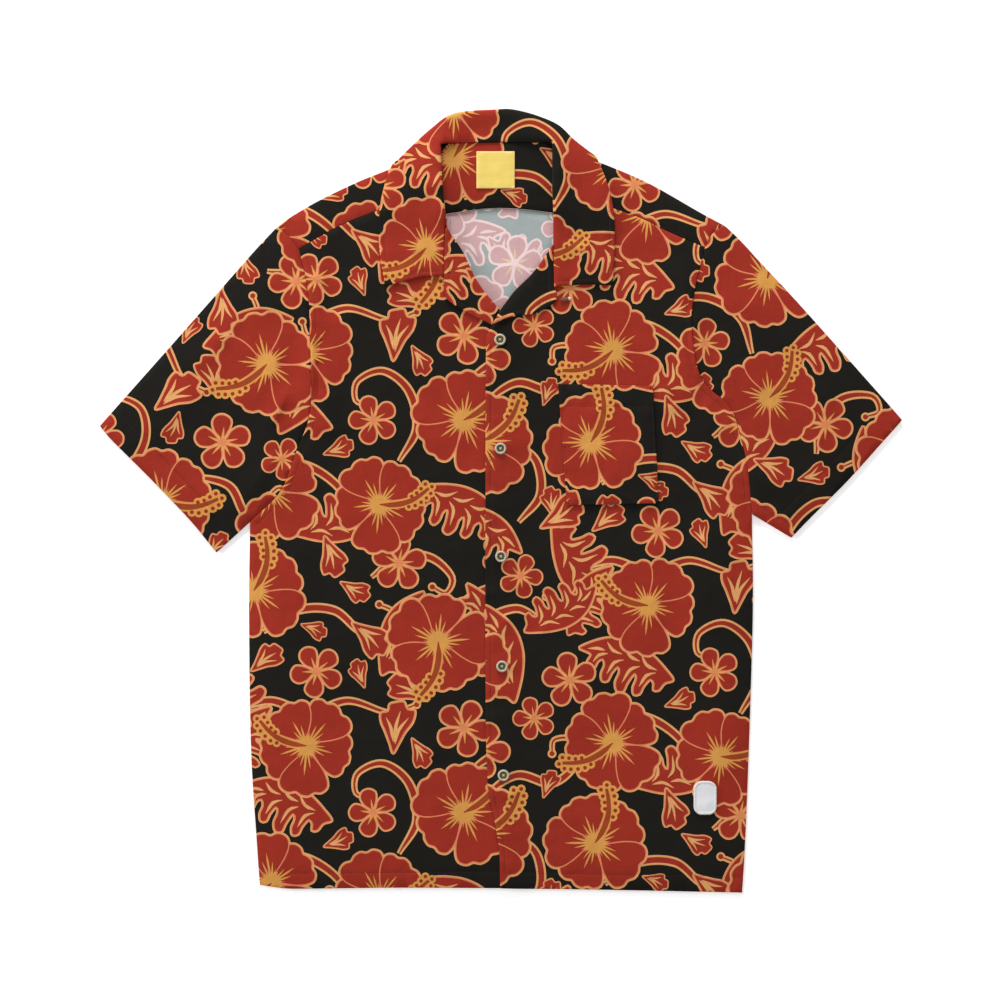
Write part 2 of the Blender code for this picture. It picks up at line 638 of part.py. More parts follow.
def make_shirt():
    lines = make_lines()
    rings = {name: outline_points(names, lines) for name, names in OUTLINES.items()}
    net = Net(lines, rings)
    stack = Stack(net)
    ground = np.zeros(len(net.points))

    sew("back", net, Ply(net, ["back"], ground, CLOTH, flat=True))
    sew(
        "yoke", net,
        Ply(net, ["yoke_back"], stack.yoke_low, CLOTH),
        Ply(net, ["yoke_strip_right", "yoke_strip_left"], stack.upper, CLOTH),
        folds=("shoulder_right", "shoulder_left"),
    )
    sew("yoke_lining", net, Ply(net, ["yoke_lining"], stack.lining_low, CLOTH))
    for side, front_low in (("right", stack.upper), ("left", stack.front_left)):
        sew(f"front_{side}", net, Ply(net, [f"front_{side}"], front_low, CLOTH))
        sew(f"facing_{side}", net, Ply(net, [f"facing_{side}"], front_low + LAYER, stack.lapel_wall(side)))
        sew(
            f"sleeve_{side}", net,
            Ply(net, [f"sleeve_{side}"], ground, CLOTH, flat=True),
            Ply(net, [f"sleeve_{side}"], stack.upper, CLOTH),
            folds=(f"sleeve_top_{side}", f"sleeve_under_{side}"),
        )
    sew("pocket", net, Ply(net, ["pocket"], stack.on_front, CLOTH))
    sew("button_loop", net, Ply(net, ["button_loop"], stack.on_front, LOOP_HEIGHT))
    sew("neck_label", net, Ply(net, ["neck_label"], stack.label_low, LABEL_CLOTH), colour="label")
    sew("hem_patch", net, Ply(net, ["hem_patch"], stack.on_front, LABEL_CLOTH), colour="patch")
    for number, place in enumerate(BUTTONS, start=1):
        button(number, place, net.highest(place, BUTTON_RADIUS, stack.front_left) + LAYER)
    sew(
        "collar", net,
        Ply(net, ["collar_fall"], ground, COLLAR_CLOTH),
        Ply(net, ["collar_top"], stack.collar, stack.collar_wall),
        folds=("collar_roll",),
    )


clear_scene()
make_shirt()
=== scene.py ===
"""Hawaiian shirt laid flat: printed cloth, stitches, buttons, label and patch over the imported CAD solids.

Right and left are the wearer's, so the right sleeve lies at -X.

Every cloth piece is a closed shell on the form of its CAD solid. The solid's upward and downward sheets
give its outline and its heights, which are read on one grid, smoothed, given finer folds and stacked
from the table up. The print is cut into the cloth's own faces: its flowers, leaves and vines are drawn
by functions, repeated from one tile, and each face takes the colour of the shape that it lies in.
"""

import math

import bpy
import numpy as np
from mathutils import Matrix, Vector
from mathutils.geometry import delaunay_2d_cdt


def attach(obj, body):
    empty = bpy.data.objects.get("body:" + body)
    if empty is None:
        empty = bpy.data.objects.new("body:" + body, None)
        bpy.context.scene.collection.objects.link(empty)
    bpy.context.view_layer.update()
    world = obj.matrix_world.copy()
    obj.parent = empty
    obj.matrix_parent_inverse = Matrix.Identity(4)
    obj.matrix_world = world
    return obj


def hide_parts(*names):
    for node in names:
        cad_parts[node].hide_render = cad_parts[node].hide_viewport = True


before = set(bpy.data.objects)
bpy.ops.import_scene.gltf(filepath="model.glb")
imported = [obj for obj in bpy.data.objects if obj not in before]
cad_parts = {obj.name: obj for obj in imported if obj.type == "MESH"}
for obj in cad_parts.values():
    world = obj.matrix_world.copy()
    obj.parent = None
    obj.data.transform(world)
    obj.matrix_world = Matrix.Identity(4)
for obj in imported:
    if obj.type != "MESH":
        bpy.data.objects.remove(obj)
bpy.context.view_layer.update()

# Grid of heights
GRID = 2.5
GRID_LOW = np.array([-430.0, -420.0])
GRID_SHAPE = (337, 345)  # rows and columns
FORM_BLUR = 5.0  # evens out the solid's flat faces
STACK_BLUR = 2.5
STACK_GAP = 0.2  # between a ply and what it lies on
LEAST_GAP = 0.15  # after the smoothing
FAR_BLUR = 26.0  # carries heights on past a ply's edge
LEAST_WALL = 0.6

# Shells
OUTLINE_STEP = 3.6
LEAST_PART = 1.6  # a shorter part of a solid's outline is left out
CORNER = math.radians(38)  # an outline that turns by more than this keeps its corner
WELD = 3  # decimals of a millimetre
STEEPEST = 0.5  # least share of the upright in the normal of a sheet's face
LEAST_SHEET = 30.0  # square millimetres
HEIGHT_WEIGHT = 10  # how much more heights count than ways along the table, where sheets are paired
RIM_SHARE = 0.36  # of the wall, over which the rim is rounded
RIM_LEAST = 0.32
RIM_MOST = 2.2
RIM_ROWS = [(0.16, 0.26), (0.0, 0.5), (0.16, 0.74)]  # share of the rounding left, share of the wall down
FOLD_NEAR = 1.8  # plies of one piece whose outlines are this near are joined by a fold
FOLD_GAP = 0.03
PRINTED_STEP = 6.0
PLAIN_STEP = 11.0
TRIM_STEP = 2.4
CLEAR = 0.42  # a net point under this share of its step from a line is left out
EXTRA_CLEAR = 0.7  # between a seam's points and the lines of the print
MERGE = 1e-3  # points this near are joined
FOLDED_PIECES = ("sleeve_right", "sleeve_left", "yoke", "collar")  # their lower plies are turned over
ARMHOLE_PIECES = ("sleeve_right", "sleeve_left")
ARMHOLE_REACH = 0.45  # closes the gap to the body at the armhole seams
UPPER_PLY = 1.4  # a sheet that lies higher than this is an upper ply, and takes the finer folds
PLAIN_PIECES = ("yoke_lining", "neck_label", "hem_patch")  # have no folds of their own

# Finer folds. A row is both ends, the middle's shift to the left of the way between them, the half
# widths to the left and to the right, and the height.
FOLDS = [
    (-193, 172, -197, 90, 3, 3, 13, 2.5),
    (-181, 250, -190, 168, -4, 7, 9, 1.9),
    (-172, 150, -178, 62, 5, 9, 15, 1.2),
    (-203, 60, -236, -4, 6, 8, 6, 1.7),
    (195, 202, 201, 122, -3, 13, 3, 2.5),
    (184, 246, 187, 196, 4, 9, 7, 1.7),
    (176, 150, 172, 84, -5, 15, 9, 1.2),
    (209, 104, 244, 20, -7, 7, 9, 1.7),
    (-219, 112, -238, 72, 3, 3, 10, 2.2),
    (-226, 176, -262, 92, 10, 7, 12, 1.9),
    (-262, 214, -318, 130, 8, 9, 16, 1.4),
    (-290, 120, -352, 50, -9, 12, 9, 1.4),
    (-236, 50, -284, -20, 8, 9, 14, 1.6),
    (-318, 96, -330, 10, 6, 16, 11, 0.9),
    (222, 150, 250, 84, -8, 12, 7, 2.0),
    (246, 236, 300, 150, -9, 14, 8, 1.6),
    (284, 150, 342, 70, 7, 9, 14, 1.4),
    (240, 60, 282, 2, -6, 13, 8, 1.6),
    (322, 120, 326, 26, -5, 10, 16, 0.9),
    (-150, 232, -168, 140, 6, 13, 20, 1.2),
    (-112, 196, -96, 60, -9, 18, 24, 0.9),
    (-214, -30, -206, -150, 7, 14, 22, 1.4),
    (-232, -170, -222, -330, -6, 12, 18, 1.2),
    (-160, -40, -172, -220, 9, 24, 19, 1.0),
    (-118, -210, -104, -378, -8, 21, 27, 1.0),
    (-62, 130, -48, -10, 7, 17, 23, 0.9),
    (-60, -120, -70, -300, -10, 24, 18, 0.9),
    (152, 236, 164, 132, -6, 19, 12, 1.2),
    (118, 200, 104, 124, 5, 16, 22, 0.8),
    (210, -20, 202, -140, -8, 22, 13, 1.4),
    (226, -160, 216, -300, 6, 16, 12, 1.2),
    (150, -30, 162, -190, -8, 18, 25, 1.0),
    (96, -60, 84, -230, 9, 25, 18, 0.9),
    (134, -220, 122, -380, 7, 26, 20, 1.0),
    (44, -180, 52, -350, -6, 17, 23, 0.8),
    (-90, 150, 10, 128, -6, 9, 14, 0.6),
    (20, 96, 60, 128, 5, 10, 12, 0.8),
    (-30, 60, -120, 76, 6, 12, 9, 0.6),
    (-34, -58, -110, -44, -5, 11, 9, 0.6),
    (22, -58, 92, -70, 4, 10, 12, 0.6),
    (-196, -34, -120, -64, -10, 10, 16, 0.9),
    (200, -28, 128, -52, 8, 15, 10, 0.9),
]
SHARP = 6.0  # a fold with a side narrower than this gets points of its own in the mesh
SHARP_FOLDS = [fold for fold in FOLDS if min(fold[5:7]) < SHARP]
FOLD_MESH = (0.01, 5.0, 10.0)  # widths of the mesh's rows of points along a sharp fold
FOLD_POINTS = (40, 24)  # along each fold, for its heights and for its rows in the mesh
FOLD_TAPER = 0.75
FOLD_REACH = 2.6  # times its width, where a fold ends
# Long waves: turns along x and along y in radians a millimetre, phase, height
RIPPLES = [
    (0.021, 0.013, 0.4, 0.16), (-0.016, 0.027, 1.9, 0.14), (0.043, -0.018, 3.1, 0.09),
    (0.011, 0.052, 5.2, 0.09),
]
RIPPLE_SWAY = (1.3, 0.013)  # bends the waves: by how much, and in radians a millimetre along y
EDGE_EASE = 13.0  # width over which folds die out at the shirt's outline
CREASES = [(4.0, 0.2), (7.5, 0.55), (15.0, 0.7)]  # width and height of fine creases with no order
CREASE_SHARPNESS = 2.2
CREASE_SEED = 11
UNDER_SHARE = 0.45  # of the folds, mirrored, in the plies under the upper ones

# Seams by piece, ply from the lowest, and side. A row is the ends of a run along the ply's edge,
# anticlockwise, and how far the stitches are set in from there.
SEAMS = {
    ("back", 0, "down"): [(-243, -392, 243, -400, 16)],
    ("front_right", 0, "up"): [(-243, -392, 12, -396, 16), (-206, 253, -253, -18, 6)],
    ("front_left", 0, "up"): [(2, -395, 243, -400, 16), (-15, 165, -2, -390, 5), (254, -12, 208, 255, 6)],
    ("sleeve_right", 1, "up"): [(-407, 74, -292, -50, 24)],
    ("sleeve_right", 0, "down"): [(-407, 74, -292, -49, 24)],
    ("sleeve_left", 1, "up"): [(298, -36, 407, 80, 24), (258, -15, 293, -36, 11.5)],
    ("sleeve_left", 0, "down"): [(298, -36, 405, 80, 24)],
    ("yoke", 1, "up"): [(54, 316, 206, 259, 1.7)],
    ("yoke", 2, "up"): [(-204, 257, -61, 316, 1.7)],
    ("collar", 1, "up"): [
        (57, 218, 111, 219, 5), (115, 224, 112, 306, 5), (-121, 306, -118, 223, 5),
        (-114, 219, -61, 229, 5),
    ],
    ("facing_right", 0, "up"): [(-55, 288, -10, 182, 5)],
    ("facing_left", 0, "up"): [(-5, 180, 52, 201, 5), (56, 207, 54, 258, 5)],
    ("pocket", 0, "up"): [
        (58.5, 116, 66.5, -3, 1.8), (69, -5, 159, -3, 1.8), (161, -1, 155, 114, 1.8),
        (153, 117, 61, 119, 22),
    ],
    ("neck_label", 0, "up"): [
        (-22, 318.3, 11, 318.3, 1.3), (14, 321, 14, 353, 1.3), (11, 356, -22, 356, 1.3),
        (-25, 353, -25, 321, 1.3),
    ],
}
THREADS = {"neck_label": "thread_gold"}  # other pieces are sewn with dark thread
STITCH_PITCH = 3.1
STITCH_LENGTH = 2.3
STITCH_WIDTH = 0.42
STITCH_SIDES = 5
STITCH_RINGS = [(-0.5, 0.45, -0.5), (-0.3, 1.0, 0.1), (0.0, 1.05, 0.3), (0.3, 1.0, 0.1), (0.5, 0.45, -0.5)]
SEAM_DEPTH = 0.28
SEAM_WIDTH = 1.3
SEAM_ROWS = (0.0, 1.5, 4.0)  # distances of the mesh's points from a seam, to both sides
PUCKER = 0.16
PUCKER_LENGTH = 9.0
PUCKER_WIDTH = 6.0
PUCKER_START = 3.0  # from the stitches
PUCKER_SWAY = (1.7, 0.31)  # uneven spacing: by how much, and in radians a stitch

# Label and patch: low corner, high corner, corner radius
TRIMS = {"neck_label": (-25, 318, 14, 355.8, 0.5), "hem_patch": (196.6, -319.9, 219.4, -286.1, 8.0)}
LABEL_BORDER = 1.9
WHIP_PITCH = 0.85  # of the stitches over the patch's edge
WHIP_LENGTH = 2.6
WHIP_WIDTH = 0.62
WHIP_PAST = 0.5  # how far it reaches past the edge
WHIP_LIFT = 0.1
WHIP_SLOPE = 0.12

# Loop, of cord laid double, and buttons
LOOP_PATH = [(60.4, 204.7), (64, 204.8), (68, 205.4), (71.4, 206.2)]
LOOP_WIDTHS = [1.2, 2.2, 2.3, 1.9, 1.5]  # half widths, at even steps
LOOP_HEIGHT = 1.05  # half of it
LOOP_ENDS = (12, 0.08)  # how blunt the ends are: power, least share of the width squared
LOOP_LIFT = 1.05 * LOOP_HEIGHT
LOOP_SIDES = 16
LOOP_STEP = 0.35
LOOP_TWIST = 2.4  # millimetres a turn
LOOP_STRANDS = 0.13  # share of the width by which the strands stand out
LOOP_LIGHT_END = 0.74  # share of its length
BUTTONS = [(-1, 164), (-0.5, 53), (0, -57), (1, -169), (2.5, -280)]
BUTTON_SIDES = 48
# Button from the middle of its underside round to the edge of its dish: radius, height, colour
BUTTON_FORM = [
    (0.02, 0.0, "rim"), (4.4, 0.0, "rim"), (5.2, 0.22, "rim"), (5.75, 0.7, "rim"), (5.9, 1.25, "rim"),
    (5.75, 1.8, "rim"), (5.3, 2.25, "rim"), (4.75, 2.4, "rim"), (4.2, 2.28, "rim"), (3.85, 1.98, "rim"),
    (3.55, 1.62, "dish"), (3.1, 1.48, "dish"),
]
DISH_STEP = 0.9
HOLES = (1.25, 0.55, 0.9)  # distance from the middle along x and y, radius, depth
HOLE_SIDES = 12
BUTTON_SEAT = 4.0  # radius on which the button rests
BUTTON_LIFT = 0.15  # over the cloth
THREAD_LIFTS = (0.12, 0.3)  # of the crossed threads over the dish
CROSSED_THREAD = (3.625, 0.75)  # length and width

# Print
TILE = (330.0, 400.0)
TILE_DROP = 165.0  # of every second column
CONTOUR_STEP = 2.8
# Lines round a motif: how far outwards, and inwards
HIBISCUS_LINES = (1.3, 1.3)
PLUMERIA_LINES = (1.2, 1.1)
LEAF_LINES = (1.2, 1.4)
HIBISCUS_PETAL = [
    (2, 0), (10, -8), (21, -18), (32, -24), (41, -25), (47, -19), (47.5, -12), (51.5, -6), (51, 2),
    (48, 7), (49.5, 14), (47, 21), (41, 25), (32, 24), (21, 17), (10, 7),
]
FIFTH = 72  # degrees between petals
PETALS = [(0.98, 2, 1), (1.04, -3, -1), (0.93, 4, 1), (1.02, -2, -1), (0.96, -4, 1)]  # size, lean, mirrored
RAYS = [(-27, 15), (-14, 24), (0, 31), (13, 22), (26, 16)]  # turn from the petal, reach
RAY_FORM = [(-2.3, 0.75), (0, 1), (2.3, 0.75)]  # turn from the ray, share of its reach
RAY_NOTCH = 6.8  # degrees before each ray
RAY_ROOT = 9.5
STAMEN = [(0, 0), (14, 3), (29, 3), (43, -1), (56, -8)]
STAMEN_WIDTHS = [1.0, 5.4, 6.0, 5.2, 4.2, 3.2]
STAMEN_EDGE = 3.2  # wider by this in gold
ANTHERS = [
    (31, 8), (38, 8), (45, 5.5), (51.5, 2), (57, -2), (36, -2.5), (42, -5), (47.5, -9), (53, -13), (59.5, -9),
]
ANTHER = (4.6, 2.1)  # radius in gold, and in red
PLUMERIA_PETAL = [(1, 0), (6, -4), (13, -9), (21, -11), (27, -5), (27, 3), (21, 8), (12, 7), (6, 3)]
PLUMERIA_RAY = [(0, 0), (6, -1), (15, -3)]
PLUMERIA_RAY_WIDTHS = [3.0, 2.6, 0.3]
PLUMERIA_TURN = 10
PLUMERIA_MIDDLE = 4.0
LEAF_EDGE = [
    (0, 0), (12, -8), (29, -16), (48, -21), (68, -20), (86, -12), (104, 5), (95, 7), (90, 8), (91, 16),
    (87, 22), (81, 20), (80, 12), (76.5, 8), (73, 13), (73, 22), (69, 29), (63, 27), (62, 18), (59, 9.5),
    (56, 14), (56, 25), (51, 33), (44, 31), (43, 21), (40, 9.5), (37, 14), (37, 23), (33, 30), (27, 27),
    (26, 18), (22.5, 9), (18, 12), (16, 18), (10, 16), (7, 7),
]
LEAF_STROKES = [
    [(20, 0), (28, 6), (31, 20)], [(38, 0), (46, 7), (49, 23)], [(56, 0), (64, 6), (67, 20)],
    [(74, 0), (82, 5), (85, 14)], [(20, -3), (32, -4), (42, -13)], [(40, -5), (51, -6), (61, -14)],
    [(60, -5), (70, -5), (79, -11)], [(78, -2), (86, -1), (95, 3)],
]
BUD_EDGE = [
    (0, 0), (10, -5), (22, -10), (34, -17), (46, -18), (47, -10), (54, -6), (53, 2), (50, 9), (43, 10),
    (40, 17), (31, 16), (22, 11), (10, 5),
]
BUD_STROKES = [[(10, -1), (24, -3), (38, -12)], [(12, 0), (28, 0), (44, -3)], [(12, 1), (26, 5), (36, 11)]]
STROKE_WIDTHS = [0.6, 3.6, 3.0, 0.4]
VINE_WIDTH = 9.0
VINE_LINE = 2.1
VINE_TAPER = [0.45, 0.85, 1.0, 1.0, 0.9, 0.75, 0.6, 0.5]
VINE_TIP = (4.6, 2.7)  # radius of the line, and of the red
VINE_STEP = 3.5
VINE_LEAST = 0.8  # width of the red
STROKE_STEP = 4.0
VINES = [
    [(30, 40), (62, 64), (100, 66), (134, 44), (146, 14), (136, -8), (116, -6), (114, 10)],
    [(196, 70), (214, 104), (206, 142), (180, 162), (154, 152), (152, 132), (166, 128)],
    [(24, 214), (64, 226), (104, 214), (144, 226), (186, 214), (214, 222)],
    [(262, 150), (298, 172), (334, 164), (358, 184), (354, 208), (336, 208), (334, 194)],
    [(58, 296), (92, 318), (130, 318), (158, 296), (184, 298), (190, 316), (176, 324)],
    [(236, 290), (262, 326), (298, 342), (330, 326), (340, 344), (328, 354)],
    [(300, 30), (322, 58), (318, 92), (298, 106), (280, 94), (288, 80)],
    [(168, 352), (196, 372), (228, 372), (250, 352), (244, 336), (230, 342)],
]
# Motifs of one tile, the lowest first: kind, place (x, y), turn in degrees, size, mirrored.
MOTIFS = [
    ("bud", 45, 256, 40, 0.72, 1),
    ("bud", 136, 347, -30, 0.62, -1),
    ("bud", 6, 269, 100, 0.60, 1),
    ("bud", 209, 188, -60, 0.62, 1),
    ("bud", 119, 77, 20, 0.60, -1),
    ("bud", 161, 239, 110, 0.56, 1),
    ("bud", 14, 175, 200, 0.56, -1),
    ("bud", -5, 384, 70, 0.55, 1),
    ("bud", 96, 304, -20, 0.52, 1),
    ("plumeria", 316, 230, 30, 0.78, 1),
    ("plumeria", 302, 375, -10, 0.80, 1),
    ("leaf", 128, 104, 158, 0.98, 1),
    ("leaf", 178, 252, 66, 0.92, -1),
    ("leaf", 4, 262, -58, 1.02, 1),
    ("leaf", 296, 246, 104, 1.00, 1),
    ("leaf", 214, 44, -24, 0.96, -1),
    ("leaf", 88, 396, 14, 0.92, 1),
    ("leaf", 20, 150, 60, 0.80, -1),
    ("leaf", 306, 318, 30, 0.84, 1),
    ("bud", 190, 172, 84, 1.00, 1),
    ("bud", 322, 24, 30, 0.92, -1),
    ("bud", 148, 306, -40, 0.86, 1),
    ("bud", 226, 226, 150, 0.84, -1),
    ("bud", 120, -6, -70, 0.80, 1),
    ("plumeria", 22, 104, 20, 1.00, 1),
    ("plumeria", 262, 198, -12, 1.04, 1),
    ("plumeria", 112, 256, 40, 0.96, 1),
    ("plumeria", 196, 366, 8, 1.00, 1),
    ("plumeria", 170, 112, 30, 0.90, 1),
    ("hibiscus", 66, 40, -150, 0.98, 1),
    ("hibiscus", 262, 112, 40, 1.02, -1),
    ("hibiscus", 102, 180, 160, 0.96, 1),
    ("hibiscus", 48, 338, 70, 1.00, -1),
    ("hibiscus", 236, 286, -100, 1.02, 1),
    ("hibiscus", 176, 26, 10, 0.94, -1),
]
# How the print lies on a side of a piece: shift (x, y), turn in degrees, mirrored. Sides that aren't
# listed are hidden and stay plain. They take the print's dark ground, not the cloth's grey wrong side, as
# painted shade where gaps between the plies show them.
LAYS = {
    ("front_right", "up"): (-300, -30, 0, 1),
    ("front_left", "up"): (-282, -52, 0, 1),
    ("pocket", "up"): (-285, -49, 0.8, 1),
    ("facing_right", "up"): (40, 118, 12, -1),
    ("facing_left", "up"): (-70, 92, -10, -1),
    ("yoke", "up"): (24, 66, 0, 1),
    ("yoke", "down"): (60, 30, 0, -1),
    ("yoke_lining", "up"): (-96, 12, 0, 1),
    ("sleeve_right", "up"): (-210, 36, -46, 1),
    ("sleeve_right", "down"): (-180, 60, -46, -1),
    ("sleeve_left", "up"): (170, -40, 46, 1),
    ("sleeve_left", "down"): (190, 20, 46, -1),
    ("collar", "up"): (-140, 214, 3, 1),
    ("collar", "down"): (-60, 250, 0, -1),
    ("back", "down"): (120, 0, 0, -1),
    ("back", "up"): (36, 138, 0, -1),
}
NECK_WINDOW = (-110, 150, 110, 300)  # the back's wrong side shows its print only here; elsewhere it is painted dark, as shade in the gaps between the plies
NECK_CORNER = (10.0, 6.0)  # its corners' radius, and the step of its points

# Colours, as 8-bit sRGB
FACE_COLOURS = {
    "ground": (24, 21, 17),
    "red": (150, 43, 29),
    "line": (213, 156, 98),
    "vein": (212, 126, 86),
    "gold": (206, 146, 72),
    "stamen": (150, 62, 30),
}
TRIM_COLOURS = {
    "label": (230, 203, 107),
    "label_edge": (240, 206, 122),
    "patch": (222, 222, 224),
    "loop": (116, 74, 66),
    "loop_end": (214, 186, 172),
    "thread": (46, 40, 38),
    "thread_gold": (236, 196, 110),
    "thread_white": (240, 238, 238),
}
BUTTON_COLOURS = {"rim": (176, 168, 148), "dish": (66, 68, 50), "hole": (24, 22, 18)}
WRONG_COLOURS = {
    "ground": (156, 165, 163),
    "red": (200, 162, 163),
    "line": (230, 206, 202),
    "vein": (232, 202, 202),
    "gold": (216, 190, 160),
    "stamen": (186, 150, 148),
}
TRIM_ROUGHNESS = {"label": 0.5, "label_edge": 0.45}

# Textures, as scales on the object's metres
WAVE_SCALE = 0.31416  # of bands, divided by their pitch
SLUBS = [(900, 46, 200), (52, 760, 200)]
PATCHES = (26, 19, 20)
CRUMPLE = (150, 120, 100)
CLOTH_TONES = (0.3, 0.34, 0.14)  # shares of the slubs, the patches and the threads in the colour
CLOTH_RELIEF = (0.6, 3.0, 0.5)  # shares of the slubs, the crumple and the threads in the relief
CLOTH_BUMP = (0.4, 0.0003)  # strength, and depth in metres
CLOTH_SHINE = {"Sheen Weight": 0.02, "Sheen Roughness": 0.5, "Specular IOR Level": 0.1}
CLOTH_GLOSS = (0.2, 0.1)  # how much the roughness changes, and how far under its mean it starts
RING_SCALE = 900.0
CLOUDS = (420, 300, 300)
PLASTIC_TONES = (0.7, 1.35)  # darkest and lightest, as shares of the colour
PLASTIC_BUMP = (0.2, 0.00008)
PLASTIC_GLOSS = (0.25, 0.2)  # how much the roughness changes, and its least

# Cut of what shows of each cloth piece: width, length and area in metres, how it is held and what it
# rests on.
CUTS = {
    "back": (0.514, 0.698, 0.319, "laid", []),
    "yoke": (0.470, 0.190, 0.037, "folded", ["back", "collar"]),
    "yoke_lining": (0.244, 0.084, 0.0120, "laid", ["yoke"]),
    "front_right": (0.272, 0.713, 0.165, "laid", ["back"]),
    "front_left": (0.273, 0.717, 0.169, "laid", ["back", "front_right"]),
    "facing_right": (0.057, 0.112, 0.0026, "folded", ["front_right"]),
    "facing_left": (0.066, 0.082, 0.0021, "folded", ["front_left"]),
    "sleeve_right": (0.480, 0.240, 0.078, "folded", []),
    "sleeve_left": (0.460, 0.240, 0.069, "folded", []),
    "collar": (0.430, 0.165, 0.0340, "folded", ["front_right", "front_left", "yoke"]),
    "pocket": (0.103, 0.124, 0.0117, "laid", ["front_left"]),
    "neck_label": (0.039, 0.038, 0.00147, "laid", ["yoke_lining"]),
    "hem_patch": (0.023, 0.034, 0.00073, "laid", ["front_left"]),
}
SLOTS = {"neck_label": "label_cloth", "hem_patch": "patch_cloth"}

# Floor, lights and camera, in metres and watts
FLOOR_REACH = 4.0
FLOOR_HEIGHT = -0.0004
FLOOR_TONES = (0.92, 0.94)
FLOOR_CLOUDS = (3, 3, 3)
FLOOR_ROUGHNESS = 0.9
FLOOR_GLOW = 0.34  # lifts the pale floor to the photo's white
WORLD_GLOW = 0.46
LIGHTS = {  # place, size, power
    "key": ((-0.5, 3.6, 1.25), 1.3, 152),
    "side": ((-2.8, 0.5, 1.0), 0.8, 42),
    "fill": ((1.2, -0.8, 3.0), 2.4, 14),
}
CAMERA_HEIGHT = 6.0
CAMERA_REACH = 40.0
CAMERA_MIDDLE = (-0.00102, 0.00051)
FRAME_WIDTH = 1.02
SENSOR = 36.0  # width in millimetres

# Limits of rounding
TINY = 1e-9  # keeps divisors from nought
SLACK = 1e-6  # share by which a triangle reaches past its edges
LEAST_WEIGHT = 1e-3  # of what is known nearby, under which heights are carried on from farther away


# Vectors and curves


def cross(a, b):
    """Cross product of flat vectors."""
    return a[..., 0] * b[..., 1] - a[..., 1] * b[..., 0]


def leftward(vectors):
    """Flat vectors turned to the left by a quarter."""
    return np.stack([-vectors[..., 1], vectors[..., 0]], axis=-1)


def unit(vectors):
    return vectors / np.maximum(np.linalg.norm(vectors, axis=-1, keepdims=True), TINY)


def circle(sides):
    """Unit vectors all round, anticlockwise."""
    turn = np.arange(sides) * 2 * math.pi / sides
    return np.stack([np.cos(turn), np.sin(turn)], axis=1)


def spaced(values, count):
    """As many values as the count says, at even steps through the given ones."""
    return np.interp(np.linspace(0, 1, count), np.linspace(0, 1, len(values)), values)


def lengths_along(path):
    return np.append(0, np.cumsum(np.linalg.norm(np.diff(path, axis=0), axis=1)))


def within(points, low, high):
    """Which points lie in a box."""
    return np.all((points > low) & (points < high), axis=1)


def signed_area(loop):
    return 0.5 * float(np.sum(cross(loop, np.roll(loop, -1, 0))))


def anticlockwise(loop):
    return loop if signed_area(loop) > 0 else loop[::-1]


def spline(before, start, end, after, step):
    """Points from start up to end on the smooth curve through four points."""
    count = max(1, int(round(np.linalg.norm(end - start) / step)))
    t = (np.arange(count) / count)[:, None]
    return 0.5 * (
        2 * start
        + (end - before) * t
        + (2 * before - 5 * start + 4 * end - after) * t**2
        + (3 * start - before - 3 * end + after) * t**3
    )


def smooth_loop(points, step=CONTOUR_STEP):
    """A closed smooth curve through the points, anticlockwise."""
    p = np.asarray(points, float)
    rows = zip(np.roll(p, 1, 0), p, np.roll(p, -1, 0), np.roll(p, -2, 0))
    return anticlockwise(np.concatenate([spline(a, b, c, d, step) for a, b, c, d in rows]))


def smooth_path(points, step=CONTOUR_STEP):
    """An open smooth curve through the points."""
    p = np.asarray(points, float)
    p = np.concatenate([[2 * p[0] - p[1]], p, [2 * p[-1] - p[-2]]])
    rows = [spline(a, b, c, d, step) for a, b, c, d in zip(p[:-3], p[1:-2], p[2:-1], p[3:])]
    return np.concatenate(rows + [p[-2][None]])


def smooth_outline(loop, step):
    """A smooth closed curve through the loop's points, which keeps its corners."""
    loop = loop[np.linalg.norm(np.roll(loop, -1, 0) - loop, axis=1) > LEAST_PART]
    ahead = np.roll(loop, -1, 0) - loop
    before = np.roll(ahead, 1, 0)
    turn = np.abs(np.arctan2(cross(before, ahead), np.sum(before * ahead, axis=1)))
    corners = np.flatnonzero(turn > CORNER)
    if len(corners) < 2:
        return smooth_loop(loop, step)
    rows = []
    for start, end in zip(corners, np.roll(corners, -1)):
        count = (end - start) % len(loop) or len(loop)
        rows.append(smooth_path(loop[(start + np.arange(count + 1)) % len(loop)], step)[:-1])
    return anticlockwise(np.concatenate(rows))


def set_in(loop, distance):
    """The anticlockwise loop moved inwards by a distance, or one for each point, and outwards if negative."""
    along = unit(np.roll(loop, -1, 0) - np.roll(loop, 1, 0))
    return loop + leftward(along) * np.reshape(distance, (-1, 1))


def stroke(path, widths):
    """The outline of a band along a path, as wide at its even shares as the widths say."""
    side = 0.5 * spaced(widths, len(path))[:, None] * leftward(unit(np.gradient(path, axis=0)))
    return np.concatenate([path - side, (path + side)[::-1]])


def disc(centre, radius, sides=9):
    return np.asarray(centre, float) + radius * circle(sides)


def rounded_rectangle(x0, y0, x1, y1, radius, step=1.5):
    """A rectangle's outline with round corners, anticlockwise."""
    turn = np.radians(np.linspace(0, 90, max(3, int(2 * radius / step) + 1)))
    arc = radius * np.stack([np.cos(turn), np.sin(turn)], axis=1)
    left, right, low, high = x0 + radius, x1 - radius, y0 + radius, y1 - radius
    centres = [(right, high), (left, high), (left, low), (right, low)]
    corners = np.concatenate([turned(arc, 90 * number) + centre for number, centre in enumerate(centres)])
    rows = []
    for start, end in zip(corners, np.roll(corners, -1, 0)):
        share = np.arange(max(1, round(np.linalg.norm(end - start) / step)))[:, None]
        rows.append(start + (end - start) * share / len(share))
    return np.concatenate(rows)


